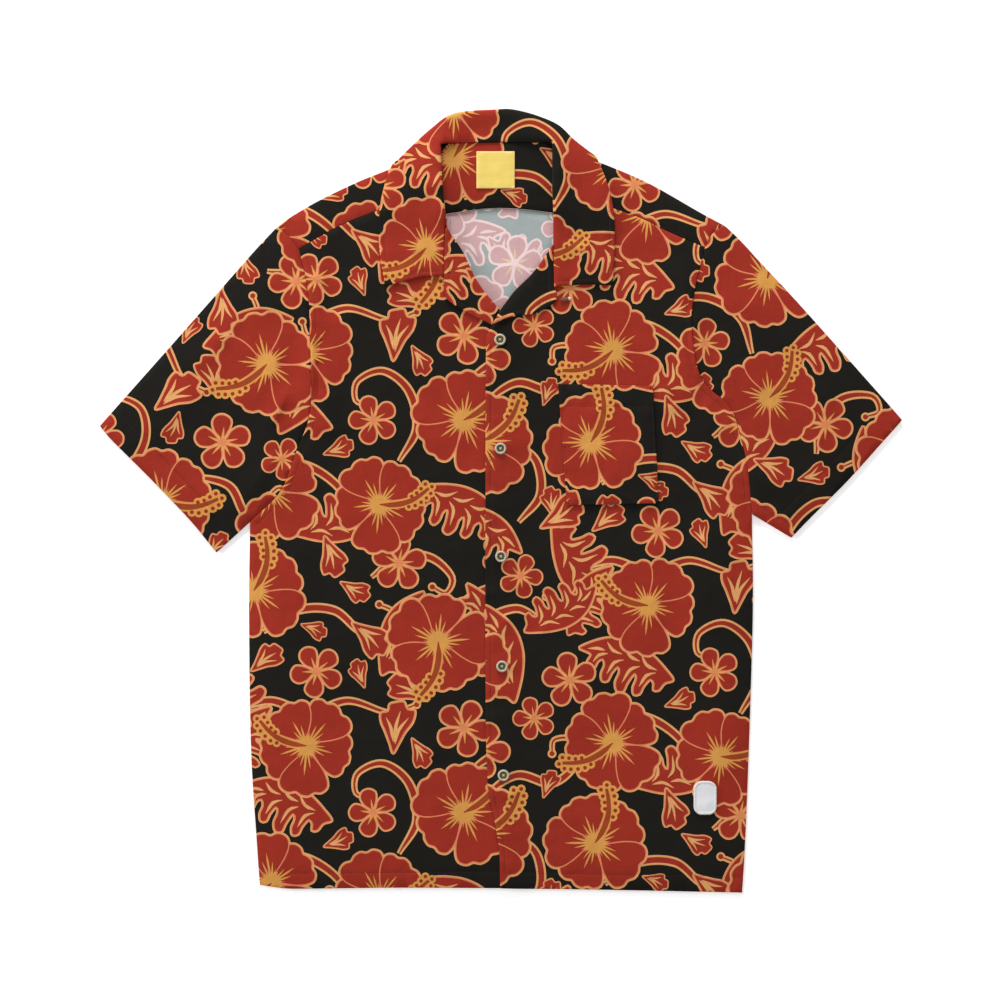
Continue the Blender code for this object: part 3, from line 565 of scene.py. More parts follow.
def edge_run(outline, start, end, inset, step):
    """Points at even steps along an outline, anticlockwise from near one place to near another, set in."""
    first, last = (int(np.argmin(np.linalg.norm(outline - place, axis=1))) for place in (start, end))
    run = outline[(first + np.arange((last - first) % len(outline) + 1)) % len(outline)]
    run = run + inset * leftward(unit(np.gradient(run, axis=0)))
    length = lengths_along(run)
    places = np.linspace(0, length[-1], max(2, int(length[-1] / step) + 1))
    return np.stack([np.interp(places, length, run[:, axis]) for axis in (0, 1)], axis=1)


def turned(points, degrees, scale=1.0, mirror=1):
    c, s = math.cos(math.radians(degrees)), math.sin(math.radians(degrees))
    p = np.asarray(points, float) * (scale, scale * mirror)
    return np.stack([p[:, 0] * c - p[:, 1] * s, p[:, 0] * s + p[:, 1] * c], 1)


def inside(points, loop):
    """Which points lie inside a loop."""
    found = within(points, loop.min(0), loop.max(0))
    x, y = points[found, 0][:, None], points[found, 1][:, None]
    x0, y0 = loop.T
    x1, y1 = np.roll(x0, -1), np.roll(y0, -1)
    spans = (y0 > y) != (y1 > y)
    with np.errstate(divide="ignore", invalid="ignore"):
        crossing = (x1 - x0) * (y - y0) / (y1 - y0) + x0
    found[found] = np.sum(spans & (x < crossing), axis=1) % 2 == 1
    return found


# Motifs: each is a list of (colour, loop), the lowest first


def outlined(loops, lines):
    """Red forms with a vein round each one and a line round them all."""
    outer, inner = lines
    shapes = [("line", set_in(loop, -outer)) for loop in loops]
    for loop in loops:
        shapes += [("vein", loop), ("red", set_in(loop, inner))]
    return shapes


def hibiscus():
    petals, star = [], []
    for number, (scale, lean, mirror) in enumerate(PETALS):
        middle = FIFTH * (number + 0.5) + lean
        petals.append(anticlockwise(turned(smooth_loop(HIBISCUS_PETAL), middle, scale, mirror)))
        for angle, length in RAYS:
            ray = middle + angle * mirror
            star.append((ray - RAY_NOTCH, RAY_ROOT))
            star += [(ray + turn, length * scale * share) for turn, share in RAY_FORM]
    angles, reach = np.array(sorted(star)).T
    angles = np.radians(angles)
    path = smooth_path(STAMEN)
    return outlined(petals, HIBISCUS_LINES) + [
        ("gold", np.stack([np.cos(angles), np.sin(angles)], 1) * reach[:, None]),
        ("gold", stroke(path, [width + STAMEN_EDGE for width in STAMEN_WIDTHS])),
        *(("gold", disc(centre, ANTHER[0])) for centre in ANTHERS),
        ("stamen", stroke(path, STAMEN_WIDTHS)),
        *(("red", disc(centre, ANTHER[1], 7)) for centre in ANTHERS),
    ]


def plumeria():
    turns = [FIFTH * number + PLUMERIA_TURN for number in range(5)]
    ray = stroke(smooth_path(PLUMERIA_RAY, 3), PLUMERIA_RAY_WIDTHS)
    shapes = outlined([turned(smooth_loop(PLUMERIA_PETAL), turn) for turn in turns], PLUMERIA_LINES)
    shapes += [("gold", turned(ray, turn)) for turn in turns]
    return shapes + [("vein", disc((0, 0), PLUMERIA_MIDDLE, 12))]


def leafy(edge, strokes):
    """A leaf or a bud, with strokes in it."""
    shapes = outlined([smooth_loop(edge)], LEAF_LINES)
    return shapes + [("line", stroke(smooth_path(points, STROKE_STEP), STROKE_WIDTHS)) for points in strokes]


def vine(points):
    """A stem with a round end, which thins out from its middle."""
    path = smooth_path(points, VINE_STEP)
    outer = [VINE_WIDTH * share + 1 for share in VINE_TAPER]
    inner = [max(width - 2 * VINE_LINE, VINE_LEAST) for width in outer]
    return [
        ("line", stroke(path, outer)),
        ("line", disc(path[-1], VINE_TIP[0], 12)),
        ("red", stroke(path, inner)),
        ("red", disc(path[-1], VINE_TIP[1], 10)),
    ]


def tile_motifs():
    """The motifs of one tile, the lowest first."""
    drawn = {
        "hibiscus": hibiscus(),
        "plumeria": plumeria(),
        "leaf": leafy(LEAF_EDGE, LEAF_STROKES),
        "bud": leafy(BUD_EDGE, BUD_STROKES),
    }
    motifs = [vine(points) for points in VINES]
    for kind, x, y, turn, size, mirror in MOTIFS:
        motifs.append([(slot, turned(loop, turn, size, mirror) + (x, y)) for slot, loop in drawn[kind]])
    return motifs


def with_reach(motif):
    """A motif with its middle and its reach from there."""
    edge = np.concatenate([loop for slot, loop in motif])
    middle = 0.5 * (edge.min(0) + edge.max(0))
    return motif, middle, float(np.linalg.norm(edge - middle, axis=1).max())


TILE_MOTIFS = [with_reach(motif) for motif in tile_motifs()]
TILE_REACH = max(reach for motif, middle, reach in TILE_MOTIFS)


def print_shapes(low, high, lay):
    """The print's shapes over a box, the lowest first, with the print laid as the row says."""
    shift, turn, mirror = np.array(lay[:2], float), lay[2], lay[3]

    def laid(points):
        return turned(points * (mirror, 1), turn) + shift

    corners = np.array([(low[0], low[1]), (high[0], low[1]), (high[0], high[1]), (low[0], high[1])])
    local = turned(corners - shift, -turn) * (mirror, 1)
    first = np.floor((local.min(0) - TILE_REACH) / TILE).astype(int) - 2
    last = np.ceil((local.max(0) + TILE_REACH) / TILE).astype(int) + 1
    shapes = []
    for motif, middle, reach in TILE_MOTIFS:
        for column in range(first[0], last[0] + 1):
            for row in range(first[1], last[1] + 1):
                step = np.array([column * TILE[0], row * TILE[1] + (column % 2) * TILE_DROP])
                place = laid((middle + step)[None])[0]
                if np.all(place + reach > low) and np.all(place - reach < high):
                    shapes += [(slot, laid(loop + step)) for slot, loop in motif]
    return shapes


# Heights on the grid

GRID_POINTS = np.stack(
    np.meshgrid(*(low + GRID * np.arange(count) for low, count in zip(GRID_LOW, GRID_SHAPE[::-1]))), axis=-1
)


def raster(points, faces):
    """The heights of a sheet of faces at the grid's points, and nan beside it."""
    heights = np.full(GRID_SHAPE, np.nan)
    for corners in points[faces]:
        low = np.maximum(np.ceil((corners[:, :2].min(0) - GRID_LOW) / GRID - SLACK).astype(int), 0)
        high = np.floor((corners[:, :2].max(0) - GRID_LOW) / GRID + SLACK).astype(int)
        start, first, second = corners[0], corners[1] - corners[0], corners[2] - corners[0]
        area = cross(first, second)
        if np.any(high < low) or abs(area) < TINY:
            continue
        part = (slice(low[1], high[1] + 1), slice(low[0], high[0] + 1))
        away = GRID_POINTS[part] - start[:2]
        v, w = cross(away, second) / area, cross(first, away) / area
        hit = (v >= -SLACK) & (w >= -SLACK) & (v + w <= 1 + SLACK)
        heights[part] = np.where(hit, start[2] + v * first[2] + w * second[2], heights[part])
    return heights


def spread(values, width):
    """The values blurred along both ways of the grid."""
    reach = int(math.ceil(3 * width / GRID))
    for axis in (0, 1):
        total = np.zeros_like(values)
        for step in range(-reach, reach + 1):
            total += math.exp(-0.5 * (step * GRID / width) ** 2) * np.roll(values, step, axis=axis)
        values = total
    return values


def blurred(values, width):
    """The known values blurred, and carried on past their edge."""
    known = np.isfinite(values)
    filled = np.where(known, values, 0.0)
    near, far = (spread(known.astype(float), reach) for reach in (width, FAR_BLUR))
    beyond = spread(filled, FAR_BLUR) / np.maximum(far, TINY)
    return np.where(near > LEAST_WEIGHT, spread(filled, width) / np.maximum(near, TINY), beyond)


def read(values, points):
    """The grid's values at points between its own."""
    place = (points - GRID_LOW) / GRID
    column, row = np.clip(np.floor(place).astype(int), 0, np.array(GRID_SHAPE[::-1]) - 2).T
    x, y = place[:, 0] - column, place[:, 1] - row
    lower = values[row, column] * (1 - x) + values[row, column + 1] * x
    upper = values[row + 1, column] * (1 - x) + values[row + 1, column + 1] * x
    return lower * (1 - y) + upper * y


def window(low, high):
    """The part of the grid over a box."""
    first = np.clip(np.floor((low - GRID_LOW) / GRID).astype(int), 0, None)
    last = np.clip(np.ceil((high - GRID_LOW) / GRID).astype(int) + 1, 0, GRID_SHAPE[::-1])
    return slice(first[1], last[1]), slice(first[0], last[0])


def fold_path(fold, count):
    """Points along a fold's crest."""
    start, end, bow = np.array(fold[:2], float), np.array(fold[2:4], float), fold[4]
    t = np.linspace(0, 1, count)[:, None]
    return start + (end - start) * t + leftward(unit(end - start)) * bow * 4 * t * (1 - t)


def fine_folds():
    """Heights of the finer folds, which the upper plies share."""
    total = np.zeros(GRID_SHAPE)
    for fold in FOLDS:
        left, right, crest = fold[5:]
        path = fold_path(fold, FOLD_POINTS[0])
        reach = FOLD_REACH * max(left, right)
        part = window(path.min(0) - reach, path.max(0) + reach)
        nearest, height = np.inf, 0.0
        for point, way, share in zip(path, np.gradient(path, axis=0), np.linspace(0, 1, len(path))):
            away = GRID_POINTS[part] - point
            distance = np.hypot(away[..., 0], away[..., 1])
            form = np.exp(-((distance / np.where(cross(way, away) > 0, left, right)) ** 2))
            height = np.where(distance < nearest, math.sin(math.pi * share) ** FOLD_TAPER * form, height)
            nearest = np.minimum(nearest, distance)
        total[part] += crest * height
    random = np.random.default_rng(CREASE_SEED)
    for width, height in CREASES:
        field = spread(random.standard_normal(GRID_SHAPE), width)
        total += height * np.exp(-CREASE_SHARPNESS * np.abs(field / field.std()))
    x, y = GRID_POINTS[..., 0], GRID_POINTS[..., 1]
    sway, pitch = RIPPLE_SWAY
    for along_x, along_y, phase, height in RIPPLES:
        total += height * (1 + np.sin(x * along_x + y * along_y + phase + sway * np.sin(y * pitch + phase)))
    return total


# Solids of the frame


def solid(node):
    """The welded corners of a CAD node, and its triangles."""
    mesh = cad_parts[node].data
    points = np.empty(len(mesh.vertices) * 3, np.float32)
    mesh.vertices.foreach_get("co", points)
    points = np.round(1000.0 * points.reshape(-1, 3).astype(float), WELD)
    corners, place = np.unique(points, axis=0, return_inverse=True)
    place = place.reshape(-1)
    return corners, np.array([place[list(polygon.vertices)] for polygon in mesh.polygons])


def joined_faces(faces, kinds, walls=()):
    """Groups of faces of one kind that are joined by edges, other than the edges given as walls."""
    group = list(range(len(faces)))

    def root(face):
        while group[face] != face:
            group[face] = group[group[face]]
            face = group[face]
        return face

    seen = {}
    for number, (a, b, c) in enumerate(faces):
        for edge in ((a, b), (b, c), (c, a)):
            edge = (min(edge), max(edge))
            if edge in walls:
                continue
            other = seen.setdefault(edge, number)
            if kinds[other] == kinds[number]:
                group[root(number)] = root(other)
    found = {}
    for number in range(len(faces)):
        found.setdefault(root(number), []).append(number)
    return list(found.values())


def directed_edges(faces):
    """The faces' directed edges, and a number for each edge and for its reverse."""
    edges = np.concatenate([faces[:, [0, 1]], faces[:, [1, 2]], faces[:, [2, 0]]])
    many = int(faces.max()) + 1
    return edges, edges[:, 0] * many + edges[:, 1], edges[:, 1] * many + edges[:, 0], many


def border(faces):
    """The longest closed row of corners round the faces."""
    edges, ways, reverse, _ = directed_edges(faces)
    following = {}
    for a, b in edges[~np.isin(ways, reverse)].tolist():
        following.setdefault(a, []).append(b)
    loops = []
    for start in list(following):
        loop = [start]
        while following[loop[-1]]:
            loop.append(following[loop[-1]].pop())
        loops.append(loop[:-1])
    return max(loops, key=len)


def faces_along(faces, loop):
    """The number of the face at each edge of a border."""
    _, ways, _, many = directed_edges(faces)
    order = np.argsort(ways)
    wanted = loop * many + np.roll(loop, -1)
    return order[np.searchsorted(ways[order], wanted)] % len(faces)


class Sheet:
    """One upward or downward sheet of a solid's faces."""

    def __init__(self, points, faces, up):
        self.heights = raster(points, faces)
        self.middle = points[faces].reshape(-1, 3).mean(0)
        loop = points[border(faces)][:, :2]
        self.loop = loop if up else loop[::-1]


class Ply:
    """One ply of a piece of cloth: an upward sheet over a downward one."""

    def __init__(self, node, top, bottom):
        self.node = node
        self.middle = bottom.middle
        self.outline = smooth_outline(anticlockwise(top.loop), OUTLINE_STEP)
        if node in TRIMS:
            self.outline = rounded_rectangle(*TRIMS[node])
        self.low = blurred(bottom.heights, FORM_BLUR)
        self.wall = np.maximum(blurred(top.heights, FORM_BLUR) - self.low, LEAST_WALL)
        self.covered = inside(GRID_POINTS.reshape(-1, 2), self.outline).reshape(GRID_SHAPE)
        if node in ARMHOLE_PIECES:
            self.outline = set_in(self.outline, -ARMHOLE_REACH)

    def settle(self, ground, lift):
        """Lays the ply on the ground of heights below it, lifted by the finer folds."""
        low = np.where(self.covered, np.maximum(self.low, ground + STACK_GAP), np.nan)
        low = blurred(low, STACK_BLUR) + lift
        self.low = np.where(self.covered, np.maximum(low, ground + LEAST_GAP), low)
        self.high = self.low + self.wall
        return np.where(self.covered, self.high, ground)

    def surface(self, side, points):
        """Heights of one side at points, drawn in along its seams, and puckered there on the upper side."""
        heights = read(self.high if side == "up" else self.low, points)
        sway, pitch = PUCKER_SWAY
        for run in self.seams[side]:
            near = within(points, run.min(0) - 3 * PUCKER_WIDTH, run.max(0) + 3 * PUCKER_WIDTH)
            if not near.any():
                continue
            away = np.linalg.norm(points[near][:, None] - run, axis=2)
            place, away = np.argmin(away, axis=1), away.min(1)
            wave = np.sin(place * STITCH_PITCH * 2 * math.pi / PUCKER_LENGTH + sway * np.sin(place * pitch))
            drawn = SEAM_DEPTH * np.exp(-((away / SEAM_WIDTH) ** 2))
            puckers = PUCKER * (1 + wave) * np.exp(-((away / PUCKER_WIDTH) ** 2))
            puckers *= np.clip(away / PUCKER_START, 0, 1)
            heights[near] += puckers - drawn if side == "up" else drawn
        return heights


def plies_of(node):
    """The plies of a node, the lowest first."""
    points, faces = solid(node)
    a, b, c = (points[faces[:, corner]] for corner in range(3))
    normals = np.cross(b - a, c - a)
    size = np.maximum(np.linalg.norm(normals, axis=1), TINY)
    upright = normals[:, 2] / size
    kinds = np.sign(upright) * (np.abs(upright) > STEEPEST)
    tops, bottoms = [], []
    for group in joined_faces(faces, kinds):
        if kinds[group[0]] and size[group].sum() > 2 * LEAST_SHEET:
            up = kinds[group[0]] > 0
            (tops if up else bottoms).append(Sheet(points, faces[group], up))
    plies = []
    for top in tops:
        below = [sheet for sheet in bottoms if sheet.middle[2] < top.middle[2]]
        plies.append(Ply(node, top, min(below, key=lambda sheet: sheet_distance(sheet, top))))
    plies.sort(key=lambda ply: ply.middle[2])
    for number, ply in enumerate(plies):
        ply.lower = len(plies) > 1 and ply.middle[2] < np.mean([other.middle[2] for other in plies])
        ply.seams = {
            side: [
                edge_run(ply.outline, (x0, y0), (x1, y1), inset, STITCH_PITCH)
                for x0, y0, x1, y1, inset in SEAMS.get((node, number, side), [])
            ]
            for side in ("up", "down")
        }
    return plies


def sheet_distance(sheet, other):
    """How far two sheets are apart, with heights counting for more."""
    return np.linalg.norm((sheet.middle - other.middle) * (1, 1, HEIGHT_WEIGHT))


# Shells


def visible_lines(outline, shapes):
    """Rows of points and their edges: the outline, and what shows of the shapes' lines inside it."""
    points, count = [outline], len(outline)
    edges = [(k, (k + 1) % count) for k in range(count)]
    boxes = np.array([(loop.min(0), loop.max(0)) for slot, loop in shapes]).reshape(-1, 2, 2)
    for number, (slot, loop) in enumerate(shapes):
        low, high = boxes[number]
        shown = inside(loop, outline)
        over = np.all((boxes[:, 0] < high) & (boxes[:, 1] > low), axis=1) & (np.arange(len(shapes)) > number)
        for other in np.flatnonzero(over):
            if not shown.any():
                break
            shown &= ~inside(loop, shapes[other][1])
        drawn = shown | np.roll(shown, -1)
        used = drawn | np.roll(drawn, 1)
        place = np.cumsum(used) - 1 + count
        edges += [(int(place[k]), int(place[(k + 1) % len(loop)])) for k in np.flatnonzero(drawn)]
        points.append(loop[used])
        count += int(used.sum())
    return points, edges


def net_points(low, high, step):
    """Points over a box, in rows that are shifted by half a step in turn."""
    found = []
    for number, y in enumerate(np.arange(low[1], high[1], step * math.sqrt(3) / 2)):
        x = np.arange(low[0] + (number % 2) * step / 2, high[0], step)
        found.append(np.stack([x, np.full(len(x), y)], axis=1))
    return np.concatenate(found)


def near_any(points, others, distance):
    """Which points lie near any of the others, to within the size of a cell."""
    many = 1 << 20
    cells = np.floor(others / distance).astype(int)
    taken = np.unique(cells[:, 0] * many + cells[:, 1])
    own = np.floor(points / distance).astype(int)
    near = np.zeros(len(points), bool)
    for i in (-1, 0, 1):
        for j in (-1, 0, 1):
            near |= np.isin((own[:, 0] + i) * many + own[:, 1] + j, taken)
    return near


def triangles(outline, shapes, step, ground="ground", extra=()):
    """Triangles over an outline whose edges follow the shapes' lines: points, faces and each one's colour.
    Extra points are kept where they aren't close to a line."""
    points, edges = visible_lines(outline, shapes)
    for row in extra:
        row = row[inside(row, outline)]
        points.append(row[~near_any(row, np.concatenate(points), EXTRA_CLEAR)])
    drawn = np.concatenate(points)
    net = net_points(outline.min(0), outline.max(0), step)
    net = net[inside(net, outline)]
    net = net[~near_any(net, drawn, CLEAR * step)]
    flat = [Vector(point) for point in np.concatenate([drawn, net])]
    corners, found, faces, _, sources, _ = delaunay_2d_cdt(flat, edges, [], 0, MERGE)
    corners = np.array([tuple(point) for point in corners])
    faces = np.array([face for face in faces if len(face) == 3])
    a, b, c = (corners[faces[:, corner]] for corner in range(3))
    area = cross(b - a, c - a)
    faces[area < 0] = faces[area < 0][:, ::-1]
    rim = [any(source < len(outline) for source in row) for row in sources]
    walls = {tuple(sorted(edge)) for edge, on_rim in zip(found, rim) if on_rim}
    kept = []
    for group in joined_faces(faces, np.zeros(len(faces)), walls):
        largest = group[int(np.argmax(np.abs(area[group])))]
        if inside(corners[faces[largest]].mean(0)[None], outline)[0]:
            kept += group
    faces = faces[kept]
    middles = corners[faces].mean(1)
    colours = np.full(len(faces), ground, dtype="<U16")
    for slot, loop in shapes:
        colours[inside(middles, loop)] = slot
    return corners, faces, colours


def shares_along(points, loop):
    """Where points lie along a loop: the number of the part and the share of it."""
    ahead = np.roll(loop, -1, 0) - loop
    along = np.einsum("pij,ij->pi", points[:, None] - loop, ahead)
    along = np.clip(along / np.maximum(np.sum(ahead**2, axis=1), TINY), 0, 1)
    distance = np.linalg.norm(points[:, None] - (loop + along[..., None] * ahead), axis=2)
    part = np.argmin(distance, axis=1)
    return part, along[np.arange(len(points)), part]


def between(rows, part, share):
    """Values of a closed row at the parts and shares."""
    share = share.reshape((-1,) + (1,) * (rows.ndim - 1))
    return rows[part] * (1 - share) + np.roll(rows, -1, 0)[part] * share


def carried_round(places, values, length):
    """Places along a loop and their values, in order and carried over the loop's start."""
    order = np.argsort(places)
    places, values = places[order], values[order]
    return (
        np.concatenate([[places[-1] - length], places, [places[0] + length]]),
        np.concatenate([[values[-1]], values, [values[0]]]),
    )


def link(name, data):
    """A new object in the scene."""
    made = bpy.data.objects.new(name, data)
    bpy.context.scene.collection.objects.link(made)
    return made


class Shell:
    """Collects one piece's corners, faces and colours."""

    def __init__(self):
        self.points = []
        self.faces = []
        self.slots = []
        self.count = 0

    def add_points(self, points):
        first = self.count
        self.points.append(np.asarray(points, float))
        self.count += len(points)
        return np.arange(first, self.count)

    def add_faces(self, faces, slots, flipped=False):
        """Adds faces with a colour for each, or one for all."""
        faces = np.asarray(faces, int).reshape(-1, 3)
        self.faces.append(faces[:, ::-1] if flipped else faces)
        self.slots.append(np.broadcast_to(np.asarray(slots, "<U16"), len(faces)))

    def add_band(self, first, second, slots, flipped=False):
        """Faces between two closed rows of as many points."""
        following, below = np.roll(first, -1), np.roll(second, -1)
        self.add_faces(np.column_stack([first, second, below]), slots, flipped)
        self.add_faces(np.column_stack([first, below, following]), slots, flipped)

    def add_fan(self, row, slot, flipped=False):
        """Faces that close a row."""
        self.add_faces([(row[0], row[k], row[k + 1]) for k in range(1, len(row) - 1)], slot, flipped)

    def zip_rows(self, upper, upper_place, lower, lower_place, slots, flipped):
        """Faces between two closed rows, which step on together along the outline."""
        first, second = -int(np.argmin(upper_place)), -int(np.argmin(lower_place))
        upper, slots, lower = np.roll(upper, first), np.roll(slots, first), np.roll(lower, second)
        upper_place = np.append(np.roll(upper_place, first), np.inf)
        lower_place = np.append(np.roll(lower_place, second), np.inf)
        ends = (len(upper), len(lower))
        i = j = 0
        faces, colours = [], []
        while i < ends[0] or j < ends[1]:
            a, b = upper[i % ends[0]], lower[j % ends[1]]
            colours.append(slots[i % ends[0]])
            if j == ends[1] or (i < ends[0] and upper_place[i + 1] <= lower_place[j + 1]):
                i += 1
                faces.append((a, b, upper[i % ends[0]]))
            else:
                j += 1
                faces.append((a, b, lower[j % ends[1]]))
        self.add_faces(faces, colours, flipped)

    def add_side(self, ply, inner, side, shapes, ground, step, fold):
        """One face sheet of a ply. Returns its border: numbers, parts of the outline and shares of them,
        colours, heights."""
        runs = ply.seams[side]
        rows = [run if away == 0 else stroke(run, [2 * away] * 2) for run in runs for away in SEAM_ROWS]
        paths = [fold_path(row, FOLD_POINTS[1]) for row in SHARP_FOLDS]
        rows += [stroke(path, [width] * 2) for path in paths for width in FOLD_MESH]
        corners, faces, colours = triangles(inner, shapes, step, ground, rows)
        heights = ply.surface(side, corners)
        loop = np.array(border(faces))
        part, share = shares_along(corners[loop], inner)
        joined = between(fold, part, share)
        heights[loop] = np.where(np.isfinite(joined), joined, heights[loop])
        numbers = self.add_points(np.column_stack([corners, heights]))
        self.add_faces(numbers[faces], colours, side == "down")
        return numbers[loop], part, share, colours[faces_along(faces, loop)], heights[loop]

    def add_ply(self, ply, sides, shown, folds):
        """A closed shell for a ply. A side is (shapes, ground, step), and its rim has the colours of the side
        that is shown. The fold rows give the heights of the rim's lower and upper edge, or nan."""
        outline = ply.outline
        inner = set_in(outline, np.clip(RIM_SHARE * read(ply.wall, outline), RIM_LEAST, RIM_MOST))
        rows = {
            side: self.add_side(ply, inner, side, *sides[side], fold)
            for side, fold in zip(("down", "up"), folds)
        }
        previous, part, share, slots, start = rows[shown]
        far_numbers, far_part, far_share, _, far = rows["down" if shown == "up" else "up"]
        place, far_place = part + share, far_part + far_share
        outer, near_inner = between(outline, part, share), between(inner, part, share)
        end = np.interp(place, *carried_round(far_place, far, len(outline)))
        for left, down in RIM_ROWS:
            flat = outer + (near_inner - outer) * left
            row = self.add_points(np.column_stack([flat, start + (end - start) * down]))
            self.add_band(previous, row, slots, shown == "down")
            previous = row
        self.zip_rows(previous, place, far_numbers, far_place, slots, shown == "down")

    def finish(self, name, slot, *nodes, middle=(0.0, 0.0, 0.0)):
        """Makes the object, in metres, with its origin at the middle and a material for each colour. It rides
        on the shirt and stands for the nodes."""
        points, faces, slots = (np.concatenate(rows) for rows in (self.points, self.faces, self.slots))
        mesh = bpy.data.meshes.new(name)
        mesh.from_pydata(((points - middle) / 1000).tolist(), [], faces.tolist())
        names, numbers = np.unique(slots, return_inverse=True)
        for material in names:
            mesh.materials.append(MATERIALS[str(material)])
        mesh.polygons.foreach_set("material_index", numbers.reshape(-1).astype(np.int32))
        mesh.polygons.foreach_set("use_smooth", np.ones(len(faces), bool))
        mesh.update()
        made = link(name, mesh)
        made.location = np.array(middle) / 1000
        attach(made, "root")
        if nodes:
            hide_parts(*nodes)
        return made


def shown_sides(ply):
    """What each side of a ply of cloth shows, and which side is the cloth's right side."""
    if ply.node == "neck_label":
        face = ("label", set_in(ply.outline, LABEL_BORDER))
        return {"up": ([face], "label_edge", TRIM_STEP), "down": ([], "label", TRIM_STEP)}, "up"
    if ply.node == "hem_patch":
        return {side: ([], "patch", TRIM_STEP) for side in ("up", "down")}, "up"
    # Hidden sides take the print's dark ground instead of the cloth's grey wrong side: painted shade where
    # gaps between plies show them
    sides = {side: ([], "ground", PLAIN_STEP) for side in ("up", "down")}
    if ply.node == "back":
        # Outside the neck window the back's wrong side stays dark ground, as painted shade under the fronts
        # and yoke
        shapes = [("ground", rounded_rectangle(*NECK_WINDOW, *NECK_CORNER))]
        shapes += print_shapes(NECK_WINDOW[:2], NECK_WINDOW[2:], LAYS["back", "up"])
        sides["up"] = ([("wrong_" + slot, loop) for slot, loop in shapes], "ground", PLAIN_STEP)
    turned_over = ply.node == "back" or (ply.lower and ply.node in FOLDED_PIECES)
    shown = "down" if turned_over else "up"
    shapes = print_shapes(ply.outline.min(0), ply.outline.max(0), LAYS[ply.node, shown])
    sides[shown] = (shapes, "ground", PRINTED_STEP)
    return sides, shown


def fold_rows(ply, others):
    """Heights at which a ply's rim meets the other ply's at a fold: under it, and over it."""
    low = np.full(len(ply.outline), np.nan)
    high = low.copy()
    for other in others:
        near = np.linalg.norm(ply.outline[:, None] - other.outline, axis=2).min(1) < FOLD_NEAR
        if other.middle[2] < ply.middle[2]:
            middle = 0.5 * (read(ply.low, ply.outline) + read(other.high, ply.outline))
            low = np.where(near, middle + FOLD_GAP, low)
        else:
            middle = 0.5 * (read(other.low, ply.outline) + read(ply.high, ply.outline))
            high = np.where(near, middle - FOLD_GAP, high)
    return low, high


# Materials


def linear(colour):
    values = [channel / 255 for channel in colour]
    return [v / 12.92 if v <= 0.04045 else ((v + 0.055) / 1.055) ** 2.4 for v in values]


def new_material(name):
    """A material, its shader and places on the object."""
    material = bpy.data.materials.new(name)
    material.use_nodes = True
    nodes = material.node_tree.nodes
    return material, nodes["Principled BSDF"], nodes.new("ShaderNodeTexCoord").outputs["Object"]


def add_node(like, kind, links=(), **inputs):
    """A node in the same tree as a socket, with links into the inputs named and values for the others."""
    made = like.id_data.nodes.new(kind)
    for name, value in inputs.items():
        made.inputs[name.replace("_", " ")].default_value = value
    for name, socket in dict(links).items():
        like.id_data.links.new(socket, made.inputs[name])
    return made


def maths(operation, first, *values):
    """A calculation with a socket and with other sockets or numbers."""
    made = add_node(first, "ShaderNodeMath", {0: first})
    made.operation = operation
    for number, value in enumerate(values, 1):
        if isinstance(value, (int, float)):
            made.inputs[number].default_value = value
        else:
            made.id_data.links.new(value, made.inputs[number])
    return made.outputs[0]


def blend(weights, *sockets):
    """The sum of sockets, each times its weight."""
    first, *others = (maths("MULTIPLY", socket, weight) for socket, weight in zip(sockets, weights))
    for other in others:
        first = maths("ADD", first, other)
    return first


def bands(place, axis, pitch):
    """Waves across an axis."""
    scale = WAVE_SCALE / pitch
    made = add_node(place, "ShaderNodeTexWave", {"Vector": place}, Scale=scale, Distortion=0.6, Detail=1.0)
    made.bands_direction = axis
    return made.outputs["Fac"]


def streaks(place, scale, detail=3.0):
    """Noise that is drawn out as the scale says."""
    stretch = add_node(place, "ShaderNodeMapping", {"Vector": place}, Scale=scale)
    links = {"Vector": stretch.outputs[0]}
    noise = add_node(place, "ShaderNodeTexNoise", links, Scale=1.0, Detail=detail, Roughness=0.55)
    return noise.outputs["Fac"]


def two_tones(shader, amount, first, second):
    """The shader's colour, between a first and a second one."""
    mix = add_node(amount, "ShaderNodeMix")
    mix.data_type = "RGBA"
    mix.inputs[6].default_value = (*first, 1.0)
    mix.inputs[7].default_value = (*second, 1.0)
    shader.id_data.links.new(amount, mix.inputs[0])
    shader.id_data.links.new(mix.outputs[2], shader.inputs["Base Color"])


def relief(shader, gloss, height, strength, distance):
    """The shader's roughness and its fine relief."""
    bump = add_node(height, "ShaderNodeBump", {"Height": height}, Strength=strength, Distance=distance)
    shader.id_data.links.new(gloss, shader.inputs["Roughness"])
    shader.id_data.links.new(bump.outputs[0], shader.inputs["Normal"])


def cloth_material(name, colour, pitch=0.0010, change=0.3, rough=0.8):
    """Woven cloth: crossing threads, slubs along both ways, and colour and gloss that change with them."""
    material, shader, place = new_material(name)
    threads = maths("MULTIPLY", bands(place, "X", pitch), bands(place, "Y", pitch))
    slubs = maths("ADD", *(streaks(place, scale) for scale in SLUBS))
    patches = streaks(place, PATCHES, 5.0)
    crumple = streaks(place, CRUMPLE, 4.0)
    tone = blend(CLOTH_TONES, slubs, patches, threads)
    height = blend(CLOTH_RELIEF, slubs, crumple, threads)
    base = np.array(linear(colour))
    two_tones(shader, tone, base * (1 - change), np.minimum(base * (1 + change) + 0.001, 1))
    change_of_gloss, start = CLOTH_GLOSS
    relief(shader, maths("MULTIPLY_ADD", tone, change_of_gloss, rough - start), height, *CLOTH_BUMP)
    for quality, value in CLOTH_SHINE.items():
        shader.inputs[quality].default_value = value
    return material


